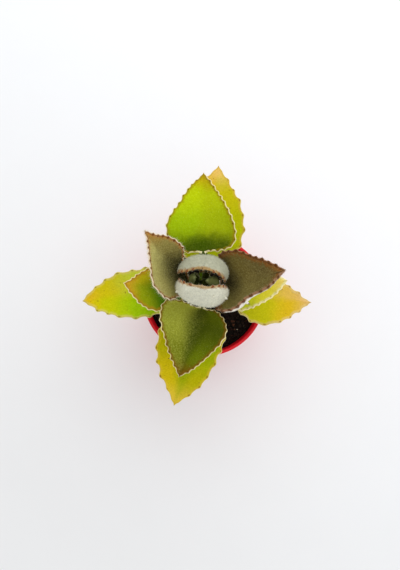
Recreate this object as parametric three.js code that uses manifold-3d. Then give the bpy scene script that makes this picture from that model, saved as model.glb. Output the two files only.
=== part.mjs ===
// A young fang kalanchoe in a round plastic pot. Its thick leaves stand in crossed pairs up one short stem:
// each is a folded triangle on a stout stalk, with toothed margins and rows of fang-like bumps underneath.
// Millimetres, +Z up. The origin is the centre of the pot's underside, and +Y points at the north leaves.
import * as THREE from 'three';
import { mergeVertices } from 'three/addons/utils/BufferGeometryUtils.js';
import Module from 'manifold-3d';

const wasm = await Module();
wasm.setup();

// The pot: a 9 cm nursery pot, which sets the scale of everything else.
const POT_RIM_RADIUS = 45;
const POT_HEIGHT = 75;
const POT_FOOT_RADIUS = 31;
const POT_WALL = 1.3;
const LIP_WIDTH = 2.2;
const LIP_HEIGHT = 10;
const POT_INNER_RADIUS = POT_RIM_RADIUS - LIP_WIDTH;
const POT_INNER_FOOT_RADIUS = POT_FOOT_RADIUS - POT_WALL;
const FLOOR_THICKNESS = 2;
const DRAIN_HOLES = 6;
const DRAIN_HOLE_RADIUS = 3.5;
const DRAIN_RING_RADIUS = 20;
const DRAIN_HOLE_SIDES = 12;
const POT_SIDES = 48;
const EDGE_ROUNDING = 0.6;
const LIP_UNDERSIDE_SLOPE = 1.5;

// The potting mix, which fills the pot to SOIL_LEVEL and is a little lower along the wall.
const SOIL_LEVEL = 68;
const SOIL_RELIEF = 1.1;
const SOIL_LUMP_SHARE = 0.6;
const SOIL_RINGS = 7;
const SOIL_SIDES = 30;
const SOIL_FIT = Math.cos(Math.PI / SOIL_SIDES);

// The stem.
const STEM_BOTTOM = 30;
const STEM_TOP = 136;
const STEM_BASE_RADIUS = 5.2;
const STEM_TOP_RADIUS = 2.4;
const STEM_FOOT_TAPER = 1.6;
const STEM_TIP_SHARE = 0.7;
const STEM_TIP_HEIGHT = 1.5;
const NODE_SWELLING = 0.7;
const NODE_WAIST = 0.1;
const STEM_SIDES = 12;

// Separate pieces that touch keep this gap.
const GAP = 0.3;

// Leaf blades. Each half is cut across into strips whose borders run like the side veins, from the rib to the
// margin. The strips of the blade's base fan out of one short stretch of the rib.
const MARGIN_HALF_THICKNESS = 0.45;
const RIB_HALF_THICKNESS = 1.3;
const THINNEST_SHARE = 0.75;
const STRIPS_PER_TOOTH = 2;
const COLUMNS = 3;
const BASE_ROWS = 0.24;
const BASE_RIB = 0.07;
const TOOTH_SHARE = 0.11;
const TOOTH_UNEVENNESS = 0.35;
const NOTCH_SHARE = 0.3;
const WAVE_HEIGHT = 1;
const WAVES = 2.5;
const FULL_WIDTH = 16;
const FOLD_STEPS = 8;

// Leaf stalks.
const STALK_RADIUS = 2.9;
const STALK_SIDES = 8;
const KEEL_STEPS = 4;
const KEEL_END = 0.6;

// Fangs under the leaves: where their rows lie from base to tip, and how far out from the rib they stand.
const FANG_ROWS = [
  { row: 0.2, shares: [0.35, 0.68] },
  { row: 0.36, shares: [0.3, 0.62] },
  { row: 0.53, shares: [0.3, 0.65] },
  { row: 0.7, shares: [0.45] },
];
const FANG_HEIGHT = 4.8;
const FANG_RADIUS = 1.6;
const FANG_ROOT = 0.4;
const FANG_SIDES = 5;

// Each leaf's rib runs from the stem's axis at height `node` through three points: the end of its stalk,
// the middle of its blade and its tip. `left` and `right` are its halves as seen walking from the stalk to
// the tip. `outline` gives pairs of [share of the blade's length, distance from the rib in mm] from the base
// to near the tip. `fold` says, in degrees, how steeply the half rises beside the rib and how much more it
// has turned up at its margin. `azimuth` is the way an upright leaf faces away from the stem, in degrees
// from +X. Past its widest place an `arched` leaf turns up less where it is narrower, so that its margin runs
// straight across its tip.
// The young leaves also say how thick their `stalk` is against STALK_RADIUS, how far along the blade its
// `keel` runs, how long their fangs are against FANG_HEIGHT, and whether they have `fangs` at all.
const LEAVES = {
  leaf_pair1_west: {
    node: 80,
    rib: [[-24, -1, 88], [-54, -3, 93], [-86.3, -5.8, 84]],
    teeth: 8,
    left: { outline: [[0.03, 9], [0.19, 15], [0.42, 16.6], [0.66, 12.6], [0.86, 6]], fold: [8, 20] },
    right: { outline: [[0.03, 10], [0.18, 17], [0.42, 17], [0.66, 13.3], [0.88, 6.3]], fold: [8, 20] },
  },
  leaf_pair1_east: {
    node: 80,
    rib: [[21, -2, 88], [47, -4.5, 93], [75.4, -6.9, 84]],
    teeth: 8,
    left: { outline: [[0.03, 10], [0.19, 16], [0.42, 15.8], [0.66, 9.8], [0.86, 3.4]], fold: [8, 20] },
    right: { outline: [[0.03, 8], [0.16, 14.5], [0.38, 20.3], [0.62, 15.6], [0.84, 6.8]], fold: [8, 20] },
  },
  leaf_pair2_north: {
    node: 89,
    rib: [[1.5, 20, 98], [5, 54, 104], [10.3, 89.8, 95]],
    teeth: 9,
    left: { outline: [[0.02, 13], [0.16, 22.5], [0.4, 24], [0.67, 15], [0.88, 5.3]], fold: [8, 20] },
    right: { outline: [[0.02, 12], [0.2, 22], [0.4, 23.3], [0.66, 16], [0.86, 6.8]], fold: [8, 20] },
  },
  leaf_pair2_south: {
    node: 89,
    rib: [[-3, -19, 98], [-11, -46, 103], [-20.5, -77.9, 95]],
    teeth: 9,
    left: { outline: [[0.02, 11], [0.16, 19.5], [0.4, 19], [0.66, 15], [0.86, 7]], fold: [8, 20] },
    right: { outline: [[0.02, 13], [0.16, 23], [0.4, 23], [0.67, 15.7], [0.88, 5.8]], fold: [8, 20] },
  },
  leaf_pair3_west: {
    node: 99,
    rib: [[-16, 0, 109], [-34, 0.5, 118], [-52.1, 0.9, 126]],
    teeth: 10,
    left: { outline: [[0.02, 9], [0.2, 15.5], [0.5, 17.7], [0.75, 13.2], [0.91, 5.9]], fold: [10, 25] },
    right: { outline: [[0.02, 9], [0.2, 15], [0.45, 14], [0.69, 9.4], [0.9, 2.6]], fold: [10, 25] },
  },
  leaf_pair3_east: {
    node: 99,
    rib: [[16, 0, 109], [35, 1.5, 118], [53, 2.6, 126]],
    teeth: 10,
    left: { outline: [[0.02, 9], [0.2, 15], [0.45, 15], [0.72, 9.4], [0.9, 3.4]], fold: [10, 25] },
    right: { outline: [[0.02, 10], [0.2, 16.5], [0.42, 16], [0.7, 11.4], [0.9, 5]], fold: [10, 25] },
  },
  leaf_pair4_north: {
    node: 109,
    rib: [[-1, 23, 120], [-2, 48, 127], [-0.7, 75, 124]],
    teeth: 11,
    left: { outline: [[0.02, 12], [0.15, 22], [0.36, 23.5], [0.58, 15.2], [0.82, 7.6]], fold: [6, 30] },
    right: { outline: [[0.03, 12], [0.1, 20.5], [0.3, 21.8], [0.55, 16.2], [0.82, 7.2]], fold: [6, 30] },
  },
  leaf_pair4_south: {
    node: 109,
    rib: [[-2, -15, 118], [-8, -36, 126], [-16.2, -58.4, 124]],
    teeth: 11,
    left: { outline: [[0.03, 9], [0.18, 17.5], [0.36, 20], [0.62, 13.4], [0.86, 6]], fold: [14, 20] },
    right: { outline: [[0.03, 14], [0.12, 25], [0.35, 25.5], [0.6, 17], [0.84, 7.3]], fold: [14, 20] },
  },
  leaf_pair5_west: {
    node: 118,
    rib: [[-11, 2, 127], [-24.6, 13, 141], [-36.8, 29.9, 150]],
    teeth: 12,
    left: { outline: [[0.09, 13.5], [0.2, 19.8], [0.46, 20.8], [0.6, 13.5], [0.82, 5.4]], fold: [14, 65] },
    right: { outline: [[0.11, 4], [0.3, 7.6], [0.55, 14.4], [0.76, 11.6], [0.9, 4]], fold: [18, 30] },
  },
  leaf_pair5_east: {
    node: 118,
    rib: [[11, 0, 127], [29, 1, 140], [48.8, 5.8, 149]],
    teeth: 12,
    left: { outline: [[0.1, 14], [0.16, 21.3], [0.45, 21.8], [0.66, 15.3], [0.84, 8.4]], fold: [14, 50] },
    right: { outline: [[0.04, 15], [0.15, 25.5], [0.36, 25.5], [0.52, 16.3], [0.76, 11.2]], fold: [6, 105] },
  },
  leaf_pair6_north: {
    node: 127,
    rib: [[1, 8, 133], [1, 15.6, 142], [-1, 6, 154.5]],
    azimuth: 82,
    arched: true,
    teeth: 8,
    stalk: 0.8,
    keel: 0.35,
    fangLength: 0.3,
    left: { outline: [[0.04, 5], [0.2, 7.5], [0.4, 15], [0.62, 22.5], [0.86, 16]], fold: [10, 88] },
    right: { outline: [[0.04, 5], [0.2, 8], [0.4, 14], [0.62, 23], [0.86, 15.5]], fold: [4, 122] },
  },
  leaf_pair6_south: {
    node: 127,
    rib: [[-1.5, -8, 133], [-2, -14.6, 142], [-2, -5, 154.5]],
    azimuth: 259,
    arched: true,
    teeth: 8,
    stalk: 0.8,
    keel: 0.35,
    fangLength: 0.6,
    left: { outline: [[0.04, 5], [0.2, 9], [0.4, 15], [0.62, 23], [0.86, 15]], fold: [4, 124] },
    right: { outline: [[0.04, 6], [0.2, 9], [0.4, 15.5], [0.62, 26.5], [0.86, 18]], fold: [4, 118] },
  },
  leaf_pair7_west: {
    node: 133,
    rib: [[-4.2, 0.3, 137], [-9.2, 1.2, 142.5], [-6, 1.4, 149.5]],
    azimuth: 174,
    teeth: 4,
    stalk: 0.5,
    fangs: false,
    left: { outline: [[0.08, 4], [0.42, 5.4], [0.75, 3]], fold: [8, 70] },
    right: { outline: [[0.08, 4], [0.42, 5.4], [0.75, 3.2]], fold: [8, 70] },
  },
  leaf_pair7_east: {
    node: 133,
    rib: [[4.2, -0.9, 137], [8, -1.2, 142], [0.8, -0.8, 149]],
    azimuth: -6,
    teeth: 4,
    stalk: 0.5,
    fangs: false,
    left: { outline: [[0.08, 3.5], [0.42, 5.2], [0.75, 3.6]], fold: [8, 70] },
    right: { outline: [[0.08, 3.5], [0.42, 5.2], [0.75, 3]], fold: [8, 70] },
  },
};

const { clamp, degToRad: radians, lerp, mapLinear } = THREE.MathUtils;

// A closed mesh as a manifold-3d solid, for cutting and joining.
function toSolid(geometry) {
  const bare = new THREE.BufferGeometry();
  bare.setAttribute('position', geometry.getAttribute('position').clone());
  if (geometry.index) bare.setIndex(geometry.index.clone());
  const merged = mergeVertices(bare, 1e-4);
  return new wasm.Manifold(new wasm.Mesh({
    numProp: 3,
    vertProperties: new Float32Array(merged.attributes.position.array),
    triVerts: new Uint32Array(merged.index.array),
  }));
}

// A manifold-3d solid as a three.js geometry.
function toGeometry(solid) {
  const mesh = solid.getMesh();
  const geometry = new THREE.BufferGeometry();
  geometry.setAttribute('position', new THREE.BufferAttribute(new Float32Array(mesh.vertProperties), 3));
  geometry.setIndex(new THREE.BufferAttribute(new Uint32Array(mesh.triVerts), 1));
  return geometry;
}

function indexedGeometry(points, faces) {
  const geometry = new THREE.BufferGeometry();
  geometry.setAttribute('position', new THREE.Float32BufferAttribute(points.flatMap((p) => p.toArray()), 3));
  geometry.setIndex(faces.flat());
  return geometry;
}

// A solid turned about Z from [radius, height] points, given from the bottom of the axis round to its top.
function turned(profile, sides) {
  const lathe = new THREE.LatheGeometry(profile.map(([r, z]) => new THREE.Vector2(r, z)), sides);
  return lathe.rotateX(Math.PI / 2);
}

const material = (color, roughness) => new THREE.MeshStandardMaterial({ color, roughness, metalness: 0 });

// How far out and up a folded half reaches at `share` of its way to the margin, for a half 1 mm wide.
function foldPath(base, gain, share) {
  let out = 0;
  let rise = 0;
  for (let i = 0; i < FOLD_STEPS; i++) {
    const middle = share * (i + 0.5) / FOLD_STEPS;
    const angle = radians(base + gain * middle ** 2);
    out += Math.cos(angle) * share / FOLD_STEPS;
    rise += Math.sin(angle) * share / FOLD_STEPS;
  }
  return [out, rise];
}

// Where on the rib the strip border that meets the margin at `row` starts.
function ribShare(row) {
  if (row < BASE_ROWS) return BASE_RIB * row / BASE_ROWS;
  return mapLinear(row, BASE_ROWS, 1, BASE_RIB, 1);
}

// One leaf's shape: its rib in space, its flat outline and the fold that lifts its halves.
class LeafShape {
  constructor(leaf) {
    const points = [[0, 0, leaf.node], ...leaf.rib].map((p) => new THREE.Vector3(...p));
    const [, stalkEnd, , tip] = points;
    this.leaf = leaf;
    const samples = 60;
    this.curve = new THREE.CatmullRomCurve3(points, false, 'centripetal');
    this.length = this.curve.getLength();
    this.stalkLength = this.curve.getLengths(leaf.rib.length * samples)[samples];
    this.bladeLength = this.length - this.stalkLength;
    const heading = leaf.azimuth === undefined
      ? Math.atan2(tip.y - stalkEnd.y, tip.x - stalkEnd.x)
      : radians(leaf.azimuth);
    this.leftward = new THREE.Vector3(-Math.sin(heading), Math.cos(heading), 0);
    this.halves = [
      { sign: 1, ...leaf.left },
      { sign: -1, ...leaf.right },
    ];
    for (const half of this.halves) {
      half.margin = this.marginCurve(half);
      half.width = Math.max(...half.outline.map((p) => p[1]));
      half.widestAt = this.bladeLength * half.outline.find((p) => p[1] === half.width)[0];
    }
    this.width = Math.max(...this.halves.map((half) => half.width));
    this.size = Math.min(1, this.width / FULL_WIDTH);
  }

  // The flat margin from the stalk to the tip, in mm along and away from the rib.
  marginCurve({ outline }) {
    const start = [0.02, 0.8 * STALK_RADIUS * Math.min(1, this.leaf.stalk ?? 1)];
    const points = [start, ...outline, [1, 0]];
    return new THREE.CatmullRomCurve3(
      points.map(([along, reach]) => new THREE.Vector3(along * this.bladeLength, reach, 0)),
      false,
      'centripetal',
    );
  }

  // The rib's point and directions at `along`, where 0 is the blade's base and 1 its tip. Lobes that reach
  // back past the base go straight on instead of following the stalk down.
  ribFrame(along, followStalk = false) {
    const kept = followStalk ? along : Math.max(along, 0);
    const share = clamp((this.stalkLength + kept * this.bladeLength) / this.length, 0, 1);
    const forward = this.curve.getTangentAt(share);
    const point = this.curve.getPointAt(share).addScaledVector(forward, (along - kept) * this.bladeLength);
    const left = this.leftward.clone().addScaledVector(forward, -this.leftward.dot(forward)).normalize();
    return { point, left, up: forward.clone().cross(left) };
  }

  // A point of the blade's middle layer. `row` runs from 0 at the stalk along the margin to 1 at the tip, and
  // `share` from 0 at the rib to 1 at the margin, where `push` moves it outward by a tooth.
  at(half, row, share, push = 0) {
    const rib = ribShare(row);
    const margin = half.margin.getPointAt(row);
    const direction = half.margin.getTangentAt(row);
    margin.add(new THREE.Vector3(-direction.y, direction.x, 0).multiplyScalar(push));
    const reach = Math.max(margin.y, 0);
    const along = rib + (margin.x / this.bladeLength - rib) * share;
    const [base, gain] = half.fold;
    const turned = this.leaf.arched && margin.x > half.widestAt ? Math.min(1, reach / half.width) : 1;
    const [out, rise] = foldPath(base, gain * turned, share);
    const wave = WAVE_HEIGHT * this.size * share ** 2 * Math.sin(Math.PI * row)
      * Math.sin(2 * Math.PI * WAVES * row + half.sign);
    const { point, left, up } = this.ribFrame(along);
    return point.addScaledVector(left, half.sign * reach * out).addScaledVector(up, reach * rise + wave);
  }

  // The direction straight out of the blade's upper face.
  upwardAt(half, row, share) {
    const step = 0.01;
    const forward = this.at(half, row + step, share).sub(this.at(half, row - step, share));
    const outward = this.at(half, row, share + step).sub(this.at(half, row, share - step));
    return forward.cross(outward).multiplyScalar(half.sign).normalize();
  }
}

// How far the margin stands out at strip border `i`: teeth of uneven height, smaller towards both ends, and
// higher where they are wider.
function toothPush(shape, half, i, count) {
  const isPoint = i % 2 === 1;
  const fade = Math.min(1, i / 3, (count - i) / 3);
  const uneven = 1 + TOOTH_UNEVENNESS * Math.sin(2.3 * i + shape.width);
  const height = TOOTH_SHARE * half.margin.getLength() / shape.leaf.teeth;
  return height * fade * (isPoint ? uneven : -NOTCH_SHARE);
}

// A sheet of triangles made solid: each point moves out to both sides along its normal by its half thickness,
// and a wall closes the `border`, a loop of points that runs anticlockwise seen from above.
function thickenedSheet(points, faces, border, halfThickness) {
  const sheet = new THREE.BufferGeometry();
  sheet.setAttribute('position', new THREE.Float32BufferAttribute(points.flatMap((p) => p.toArray()), 3));
  sheet.setIndex(faces.flat());
  sheet.computeVertexNormals();
  const normal = (i) => new THREE.Vector3().fromBufferAttribute(sheet.attributes.normal, i);
  const count = points.length;
  const upper = points.map((p, i) => p.clone().addScaledVector(normal(i), halfThickness[i]));
  const lower = points.map((p, i) => p.clone().addScaledVector(normal(i), -halfThickness[i]));
  const under = faces.map(([a, b, c]) => [count + a, count + c, count + b]);
  const wall = border.flatMap((a, i) => {
    const b = border[(i + 1) % border.length];
    return [[a, count + a, count + b], [a, count + b, b]];
  });
  return toSolid(indexedGeometry([...upper, ...lower], [...faces, ...under, ...wall]));
}

// The blade: both halves as one sheet of triangles that share the rib, thick there and thin at the margin.
function bladeSolid(shape) {
  const rows = STRIPS_PER_TOOTH * shape.leaf.teeth;
  const points = [];
  const halfThickness = [];
  const add = (point, share) => {
    const half = lerp(RIB_HALF_THICKNESS, MARGIN_HALF_THICKNESS, share ** 2);
    halfThickness.push(half * Math.max(THINNEST_SHARE, shape.size));
    return points.push(point) - 1;
  };
  const [first] = shape.halves;
  const ribPoints = Array.from({ length: rows }, (_, row) => add(shape.at(first, row / rows, 0), 0));
  const tip = add(shape.at(first, 1, 1), 1);
  const faces = [];
  const margins = shape.halves.map((half) => {
    const grid = ribPoints.map((rib, row) => {
      const strip = [rib];
      for (let column = 1; column <= COLUMNS; column++) {
        const push = column === COLUMNS ? toothPush(shape, half, row, rows) : 0;
        strip.push(add(shape.at(half, row / rows, column / COLUMNS, push), column / COLUMNS));
      }
      return strip;
    });
    const face = (a, b, c) => faces.push(half.sign > 0 ? [a, b, c] : [a, c, b]);
    for (let row = 0; row < rows; row++) {
      for (let column = 0; column < COLUMNS; column++) {
        const [a, d] = grid[row].slice(column, column + 2);
        if (row === rows - 1) {
          face(a, tip, d);
          continue;
        }
        const [b, c] = grid[row + 1].slice(column, column + 2);
        face(a, b, c);
        face(a, c, d);
      }
    }
    return { grid, edge: grid.map((strip) => strip[COLUMNS]) };
  });
  const [left, right] = margins;
  const baseLeft = left.grid[0].slice(1, COLUMNS);
  const baseRight = right.grid[0].slice(0, COLUMNS).reverse();
  const border = [...right.edge, tip, ...left.edge.reverse(), ...baseLeft.reverse(), ...baseRight.reverse()];
  return thickenedSheet(points, faces, border, halfThickness);
}

// The stalk, which runs on under the blade as its keel and ends in a point inside it.
function stalkSolid(shape) {
  const thick = STALK_RADIUS * (shape.leaf.stalk ?? 1);
  const bladeStart = shape.stalkLength / shape.bladeLength;
  const keelEnd = shape.leaf.keel ?? KEEL_END;
  const sections = [
    { along: -bladeStart, wide: 1.15, tall: 1.1, drop: 0 },
    { along: -0.55 * bladeStart, wide: 1.1, tall: 0.95, drop: 0 },
    { along: -0.12, wide: 1, tall: 0.85, drop: 0.1 },
  ];
  for (let i = 0; i <= KEEL_STEPS; i++) {
    const share = i / KEEL_STEPS;
    sections.push({
      along: lerp(0.05, keelEnd, share),
      wide: lerp(0.95, 0.3, share),
      tall: lerp(0.75, 0.25, share),
      drop: 0.3,
    });
  }
  const points = [];
  for (const { along, wide, tall, drop } of sections) {
    const { point, left, up } = shape.ribFrame(along, true);
    for (let i = 0; i < STALK_SIDES; i++) {
      const angle = 2 * Math.PI * i / STALK_SIDES;
      points.push(point.clone()
        .addScaledVector(left, wide * thick * Math.cos(angle))
        .addScaledVector(up, tall * thick * Math.sin(angle) - drop * thick));
    }
  }
  const start = points.push(shape.ribFrame(-bladeStart, true).point) - 1;
  const end = points.push(shape.ribFrame(keelEnd + 0.05).point) - 1;
  const faces = [];
  for (let ring = 0; ring < sections.length; ring++) {
    for (let i = 0; i < STALK_SIDES; i++) {
      const a = ring * STALK_SIDES + i;
      const b = ring * STALK_SIDES + (i + 1) % STALK_SIDES;
      if (ring === 0) faces.push([start, b, a]);
      if (ring === sections.length - 1) faces.push([end, a, b]);
      else faces.push([a, b, b + STALK_SIDES], [a, b + STALK_SIDES, a + STALK_SIDES]);
    }
  }
  return toSolid(indexedGeometry(points, faces));
}

// A fang under the blade, smaller towards the leaf's tip, with its root sunk into the blade.
function fangSolid(shape, half, row, share) {
  const size = shape.size * (1.1 - 0.5 * row);
  const tall = FANG_HEIGHT * size * (shape.leaf.fangLength ?? 1);
  const cone = new THREE.ConeGeometry(FANG_RADIUS * size, tall, FANG_SIDES, 1);
  cone.translate(0, tall / 2 - FANG_ROOT * size, 0);
  const downward = shape.upwardAt(half, row, share).negate();
  cone.applyQuaternion(new THREE.Quaternion().setFromUnitVectors(new THREE.Vector3(0, 1, 0), downward));
  cone.translate(...shape.at(half, row, share).toArray());
  return toSolid(cone);
}

// One whole leaf: blade, stalk and fangs joined, cut clear of the stem it sits on.
function leafGeometry(leaf, stemClearance) {
  const shape = new LeafShape(leaf);
  let solid = bladeSolid(shape).add(stalkSolid(shape));
  for (const { row, shares } of leaf.fangs === false ? [] : FANG_ROWS) {
    for (const share of shares) {
      for (const half of shape.halves) solid = solid.add(fangSolid(shape, half, row, share));
    }
  }
  return toGeometry(solid.subtract(stemClearance));
}

// The stem tapers upward, swells at each leaf pair and ends in a low cone.
function stemProfile() {
  const heights = [...new Set(Object.values(LEAVES).map((leaf) => leaf.node))].sort((a, b) => a - b);
  const radiusAt = (z) => mapLinear(z, SOIL_LEVEL, STEM_TOP, STEM_BASE_RADIUS, STEM_TOP_RADIUS);
  const profile = [
    [0, STEM_BOTTOM],
    [STEM_BASE_RADIUS - STEM_FOOT_TAPER, STEM_BOTTOM],
    [STEM_BASE_RADIUS, SOIL_LEVEL - 2 * STEM_FOOT_TAPER],
  ];
  heights.forEach((z, i) => {
    if (i > 0) profile.push([radiusAt(z) - NODE_WAIST, (z + heights[i - 1]) / 2]);
    profile.push([radiusAt(z) + NODE_SWELLING, z]);
  });
  profile.push([STEM_TOP_RADIUS * STEM_TIP_SHARE, STEM_TOP], [0, STEM_TOP + STEM_TIP_HEIGHT]);
  return profile;
}

// The stem's profile moved outward on all sides, more at the cone so that its slope keeps the gap too.
function grown(profile, by) {
  return profile.map(([r, z], i) => {
    if (i === 0) return [0, z - by];
    if (i === profile.length - 1) return [0, z + 1.3 * by];
    if (i === profile.length - 2) return [r + by, z + 0.7 * by];
    return [r + by, i === 1 ? z - by : z];
  });
}

// The radius inside the pot's tapering wall at height `z`.
function wallRadius(z) {
  return mapLinear(z, FLOOR_THICKNESS, POT_HEIGHT - EDGE_ROUNDING, POT_INNER_FOOT_RADIUS, POT_INNER_RADIUS);
}

// The pot: a tapering cup with a turned-out lip and a ring of drain holes in its floor.
function potGeometry() {
  const wallTop = POT_HEIGHT - LIP_HEIGHT - LIP_UNDERSIDE_SLOPE;
  const profile = [
    [0, 0],
    [POT_FOOT_RADIUS - EDGE_ROUNDING, 0],
    [POT_FOOT_RADIUS, EDGE_ROUNDING],
    [wallRadius(wallTop) + POT_WALL, wallTop],
    [POT_RIM_RADIUS - EDGE_ROUNDING, POT_HEIGHT - LIP_HEIGHT],
    [POT_RIM_RADIUS, POT_HEIGHT - EDGE_ROUNDING],
    [POT_RIM_RADIUS - EDGE_ROUNDING, POT_HEIGHT],
    [POT_INNER_RADIUS + EDGE_ROUNDING, POT_HEIGHT],
    [POT_INNER_RADIUS, POT_HEIGHT - EDGE_ROUNDING],
    [POT_INNER_FOOT_RADIUS, FLOOR_THICKNESS],
    [0, FLOOR_THICKNESS],
  ];
  let solid = toSolid(turned(profile, POT_SIDES));
  for (let i = 0; i < DRAIN_HOLES; i++) {
    const angle = 2 * Math.PI * i / DRAIN_HOLES;
    const depth = 3 * FLOOR_THICKNESS;
    const x = DRAIN_RING_RADIUS * Math.cos(angle);
    const y = DRAIN_RING_RADIUS * Math.sin(angle);
    const hole = new THREE.CylinderGeometry(DRAIN_HOLE_RADIUS, DRAIN_HOLE_RADIUS, depth, DRAIN_HOLE_SIDES);
    hole.rotateX(Math.PI / 2);
    hole.translate(x, y, FLOOR_THICKNESS / 2);
    solid = solid.subtract(toSolid(hole));
  }
  return toGeometry(solid);
}

// Lumps of the potting mix's surface, from a few crossed waves.
function soilLump(x, y) {
  return Math.sin(0.55 * x + 1.3) * Math.sin(0.61 * y + 0.4)
    + 0.7 * Math.sin(0.9 * x - 0.5 * y) * Math.cos(0.35 * x + 1.1 * y);
}

// The radius of the mix where it meets the pot's wall at height `z`.
function soilRadius(z) {
  return wallRadius(z) - GAP;
}

function soilSolid() {
  const floor = FLOOR_THICKNESS + GAP;
  const points = [new THREE.Vector3(0, 0, SOIL_LEVEL)];
  for (let ring = 1; ring <= SOIL_RINGS; ring++) {
    for (let i = 0; i < SOIL_SIDES; i++) {
      const angle = 2 * Math.PI * (i + 0.5 * (ring % 2)) / SOIL_SIDES;
      const radius = soilRadius(SOIL_LEVEL - SOIL_RELIEF) * SOIL_FIT * ring / SOIL_RINGS;
      const x = radius * Math.cos(angle);
      const y = radius * Math.sin(angle);
      const lump = ring === SOIL_RINGS ? -1 : SOIL_LUMP_SHARE * soilLump(x, y);
      points.push(new THREE.Vector3(x, y, SOIL_LEVEL + SOIL_RELIEF * lump));
    }
  }
  const foot = points.length;
  for (let i = 0; i < SOIL_SIDES; i++) {
    const angle = 2 * Math.PI * (i + 0.5 * (SOIL_RINGS % 2)) / SOIL_SIDES;
    const radius = soilRadius(floor) * SOIL_FIT;
    points.push(new THREE.Vector3(radius * Math.cos(angle), radius * Math.sin(angle), floor));
  }
  const bottom = points.push(new THREE.Vector3(0, 0, floor)) - 1;
  const faces = [];
  for (let i = 0; i < SOIL_SIDES; i++) {
    const next = (i + 1) % SOIL_SIDES;
    faces.push([0, 1 + i, 1 + next]);
    for (let ring = 1; ring < SOIL_RINGS; ring++) {
      const inner = 1 + (ring - 1) * SOIL_SIDES;
      const outer = inner + SOIL_SIDES;
      faces.push([inner + i, outer + i, outer + next], [inner + i, outer + next, inner + next]);
    }
    const rim = 1 + (SOIL_RINGS - 1) * SOIL_SIDES;
    faces.push([rim + i, foot + i, foot + next], [rim + i, foot + next, rim + next]);
    faces.push([bottom, foot + next, foot + i]);
  }
  return toSolid(indexedGeometry(points, faces));
}

const plant = new THREE.Group();

function place(name, geometry, look) {
  const mesh = new THREE.Mesh(geometry, look);
  mesh.name = name;
  plant.add(mesh);
}

const stem = stemProfile();
const stemClearance = toSolid(turned(grown(stem, GAP), STEM_SIDES));

place('pot', potGeometry(), material(0xc00018, 0.35));
place('soil', toGeometry(soilSolid().subtract(stemClearance)), material(0x17100c, 0.95));
place('stem', turned(stem, STEM_SIDES), material(0x9c9a78, 0.9));

// From the yellow old leaves at the bottom to the dark small ones inside the white young pair.
const LEAF_COLOURS = {
  1: 0xc9bd2b,
  2: 0xb9b81f,
  3: 0x9aa51c,
  4: 0x7f9a1e,
  5: 0x5f5a35,
  6: 0xc9cab8,
  7: 0x33401c,
};

for (const [name, leaf] of Object.entries(LEAVES)) {
  const pair = Number(name.match(/pair(\d)/)[1]);
  place(name, leafGeometry(leaf, stemClearance), material(LEAF_COLOURS[pair], 0.85));
}

export default plant;
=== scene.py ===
"""A young fang kalanchoe in a red plastic nursery pot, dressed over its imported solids.

Lengths in the constants and tables are millimetres, in the frame of the solids: the origin is the centre of
the pot's underside, +Z is up and +Y points at the north leaves. Meshes are made in metres from them.
"""
import math

import bpy
import numpy as np
from mathutils import Matrix, Vector


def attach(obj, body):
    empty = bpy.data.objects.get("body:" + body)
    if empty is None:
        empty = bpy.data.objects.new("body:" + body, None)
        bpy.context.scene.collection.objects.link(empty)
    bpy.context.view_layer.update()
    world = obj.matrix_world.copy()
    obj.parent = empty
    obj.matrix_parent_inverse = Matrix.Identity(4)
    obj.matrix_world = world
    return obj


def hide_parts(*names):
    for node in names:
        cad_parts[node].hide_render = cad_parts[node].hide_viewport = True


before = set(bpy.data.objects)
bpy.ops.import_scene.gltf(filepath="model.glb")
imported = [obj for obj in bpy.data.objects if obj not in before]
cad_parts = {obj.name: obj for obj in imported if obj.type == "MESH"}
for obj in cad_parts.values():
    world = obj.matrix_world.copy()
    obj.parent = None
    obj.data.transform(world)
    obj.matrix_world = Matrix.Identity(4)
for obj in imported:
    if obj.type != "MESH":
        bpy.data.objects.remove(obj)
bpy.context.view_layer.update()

MM = 0.001
SEED = 11

# The pot, as in the solids.
POT_RIM_RADIUS = 45
POT_HEIGHT = 75
POT_FOOT_RADIUS = 31
POT_WALL = 1.3
LIP_WIDTH = 2.2
LIP_HEIGHT = 10
LIP_OVERHANG_TAPER = 0.6
LIP_UNDERSIDE_SLOPE = 1.5
POT_INNER_RADIUS = POT_RIM_RADIUS - LIP_WIDTH
POT_INNER_FOOT_RADIUS = POT_FOOT_RADIUS - POT_WALL
FLOOR_THICKNESS = 2
DRAIN_HOLES = 6
DRAIN_HOLE_RADIUS = 3.5
DRAIN_HOLE_SIDES = 32
DRAIN_RING_RADIUS = 20
POT_SIDES = 144
EDGE_ROUNDING = 0.6
SHARP_EDGE_ANGLE = 40

# The potting mix, a little lower along the pot's wall, and the grains that lie in it.
SOIL_LEVEL = 68
SOIL_RELIEF = 0.9
SOIL_ROUGHNESS = 0.12
SOIL_EDGE_BAND = 5
SOIL_EDGE_DROP = 1.2
SOIL_RINGS = 60
SOIL_SIDES = 200
SOIL_GAP = 0.3
SOIL_GRAINS = 900
# Each wave of the soil's relief: its turns on a millimetre, in radians, and its weight.
SOIL_WAVES = ((0.16, 0.9), (0.31, 0.55), (0.62, 0.35), (1.2, 0.22), (2.3, 0.13))
# Each kind of grain: its share, its smallest and largest radius, and its dark and light colour.
GRAIN_KINDS = {
    # The peat crumbs are as dark as the mix, whose near-black is partly painted shade.
    "peat_crumbs": (0.88, (0.5, 1.3), ("#0a0503", "#24160d")),
    "bark_chips": (0.05, (0.7, 1.5), ("#2c160c", "#5a3422")),
    "pale_grains": (0.07, (0.25, 0.6), ("#8c7c68", "#c8bca8")),
}

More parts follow.
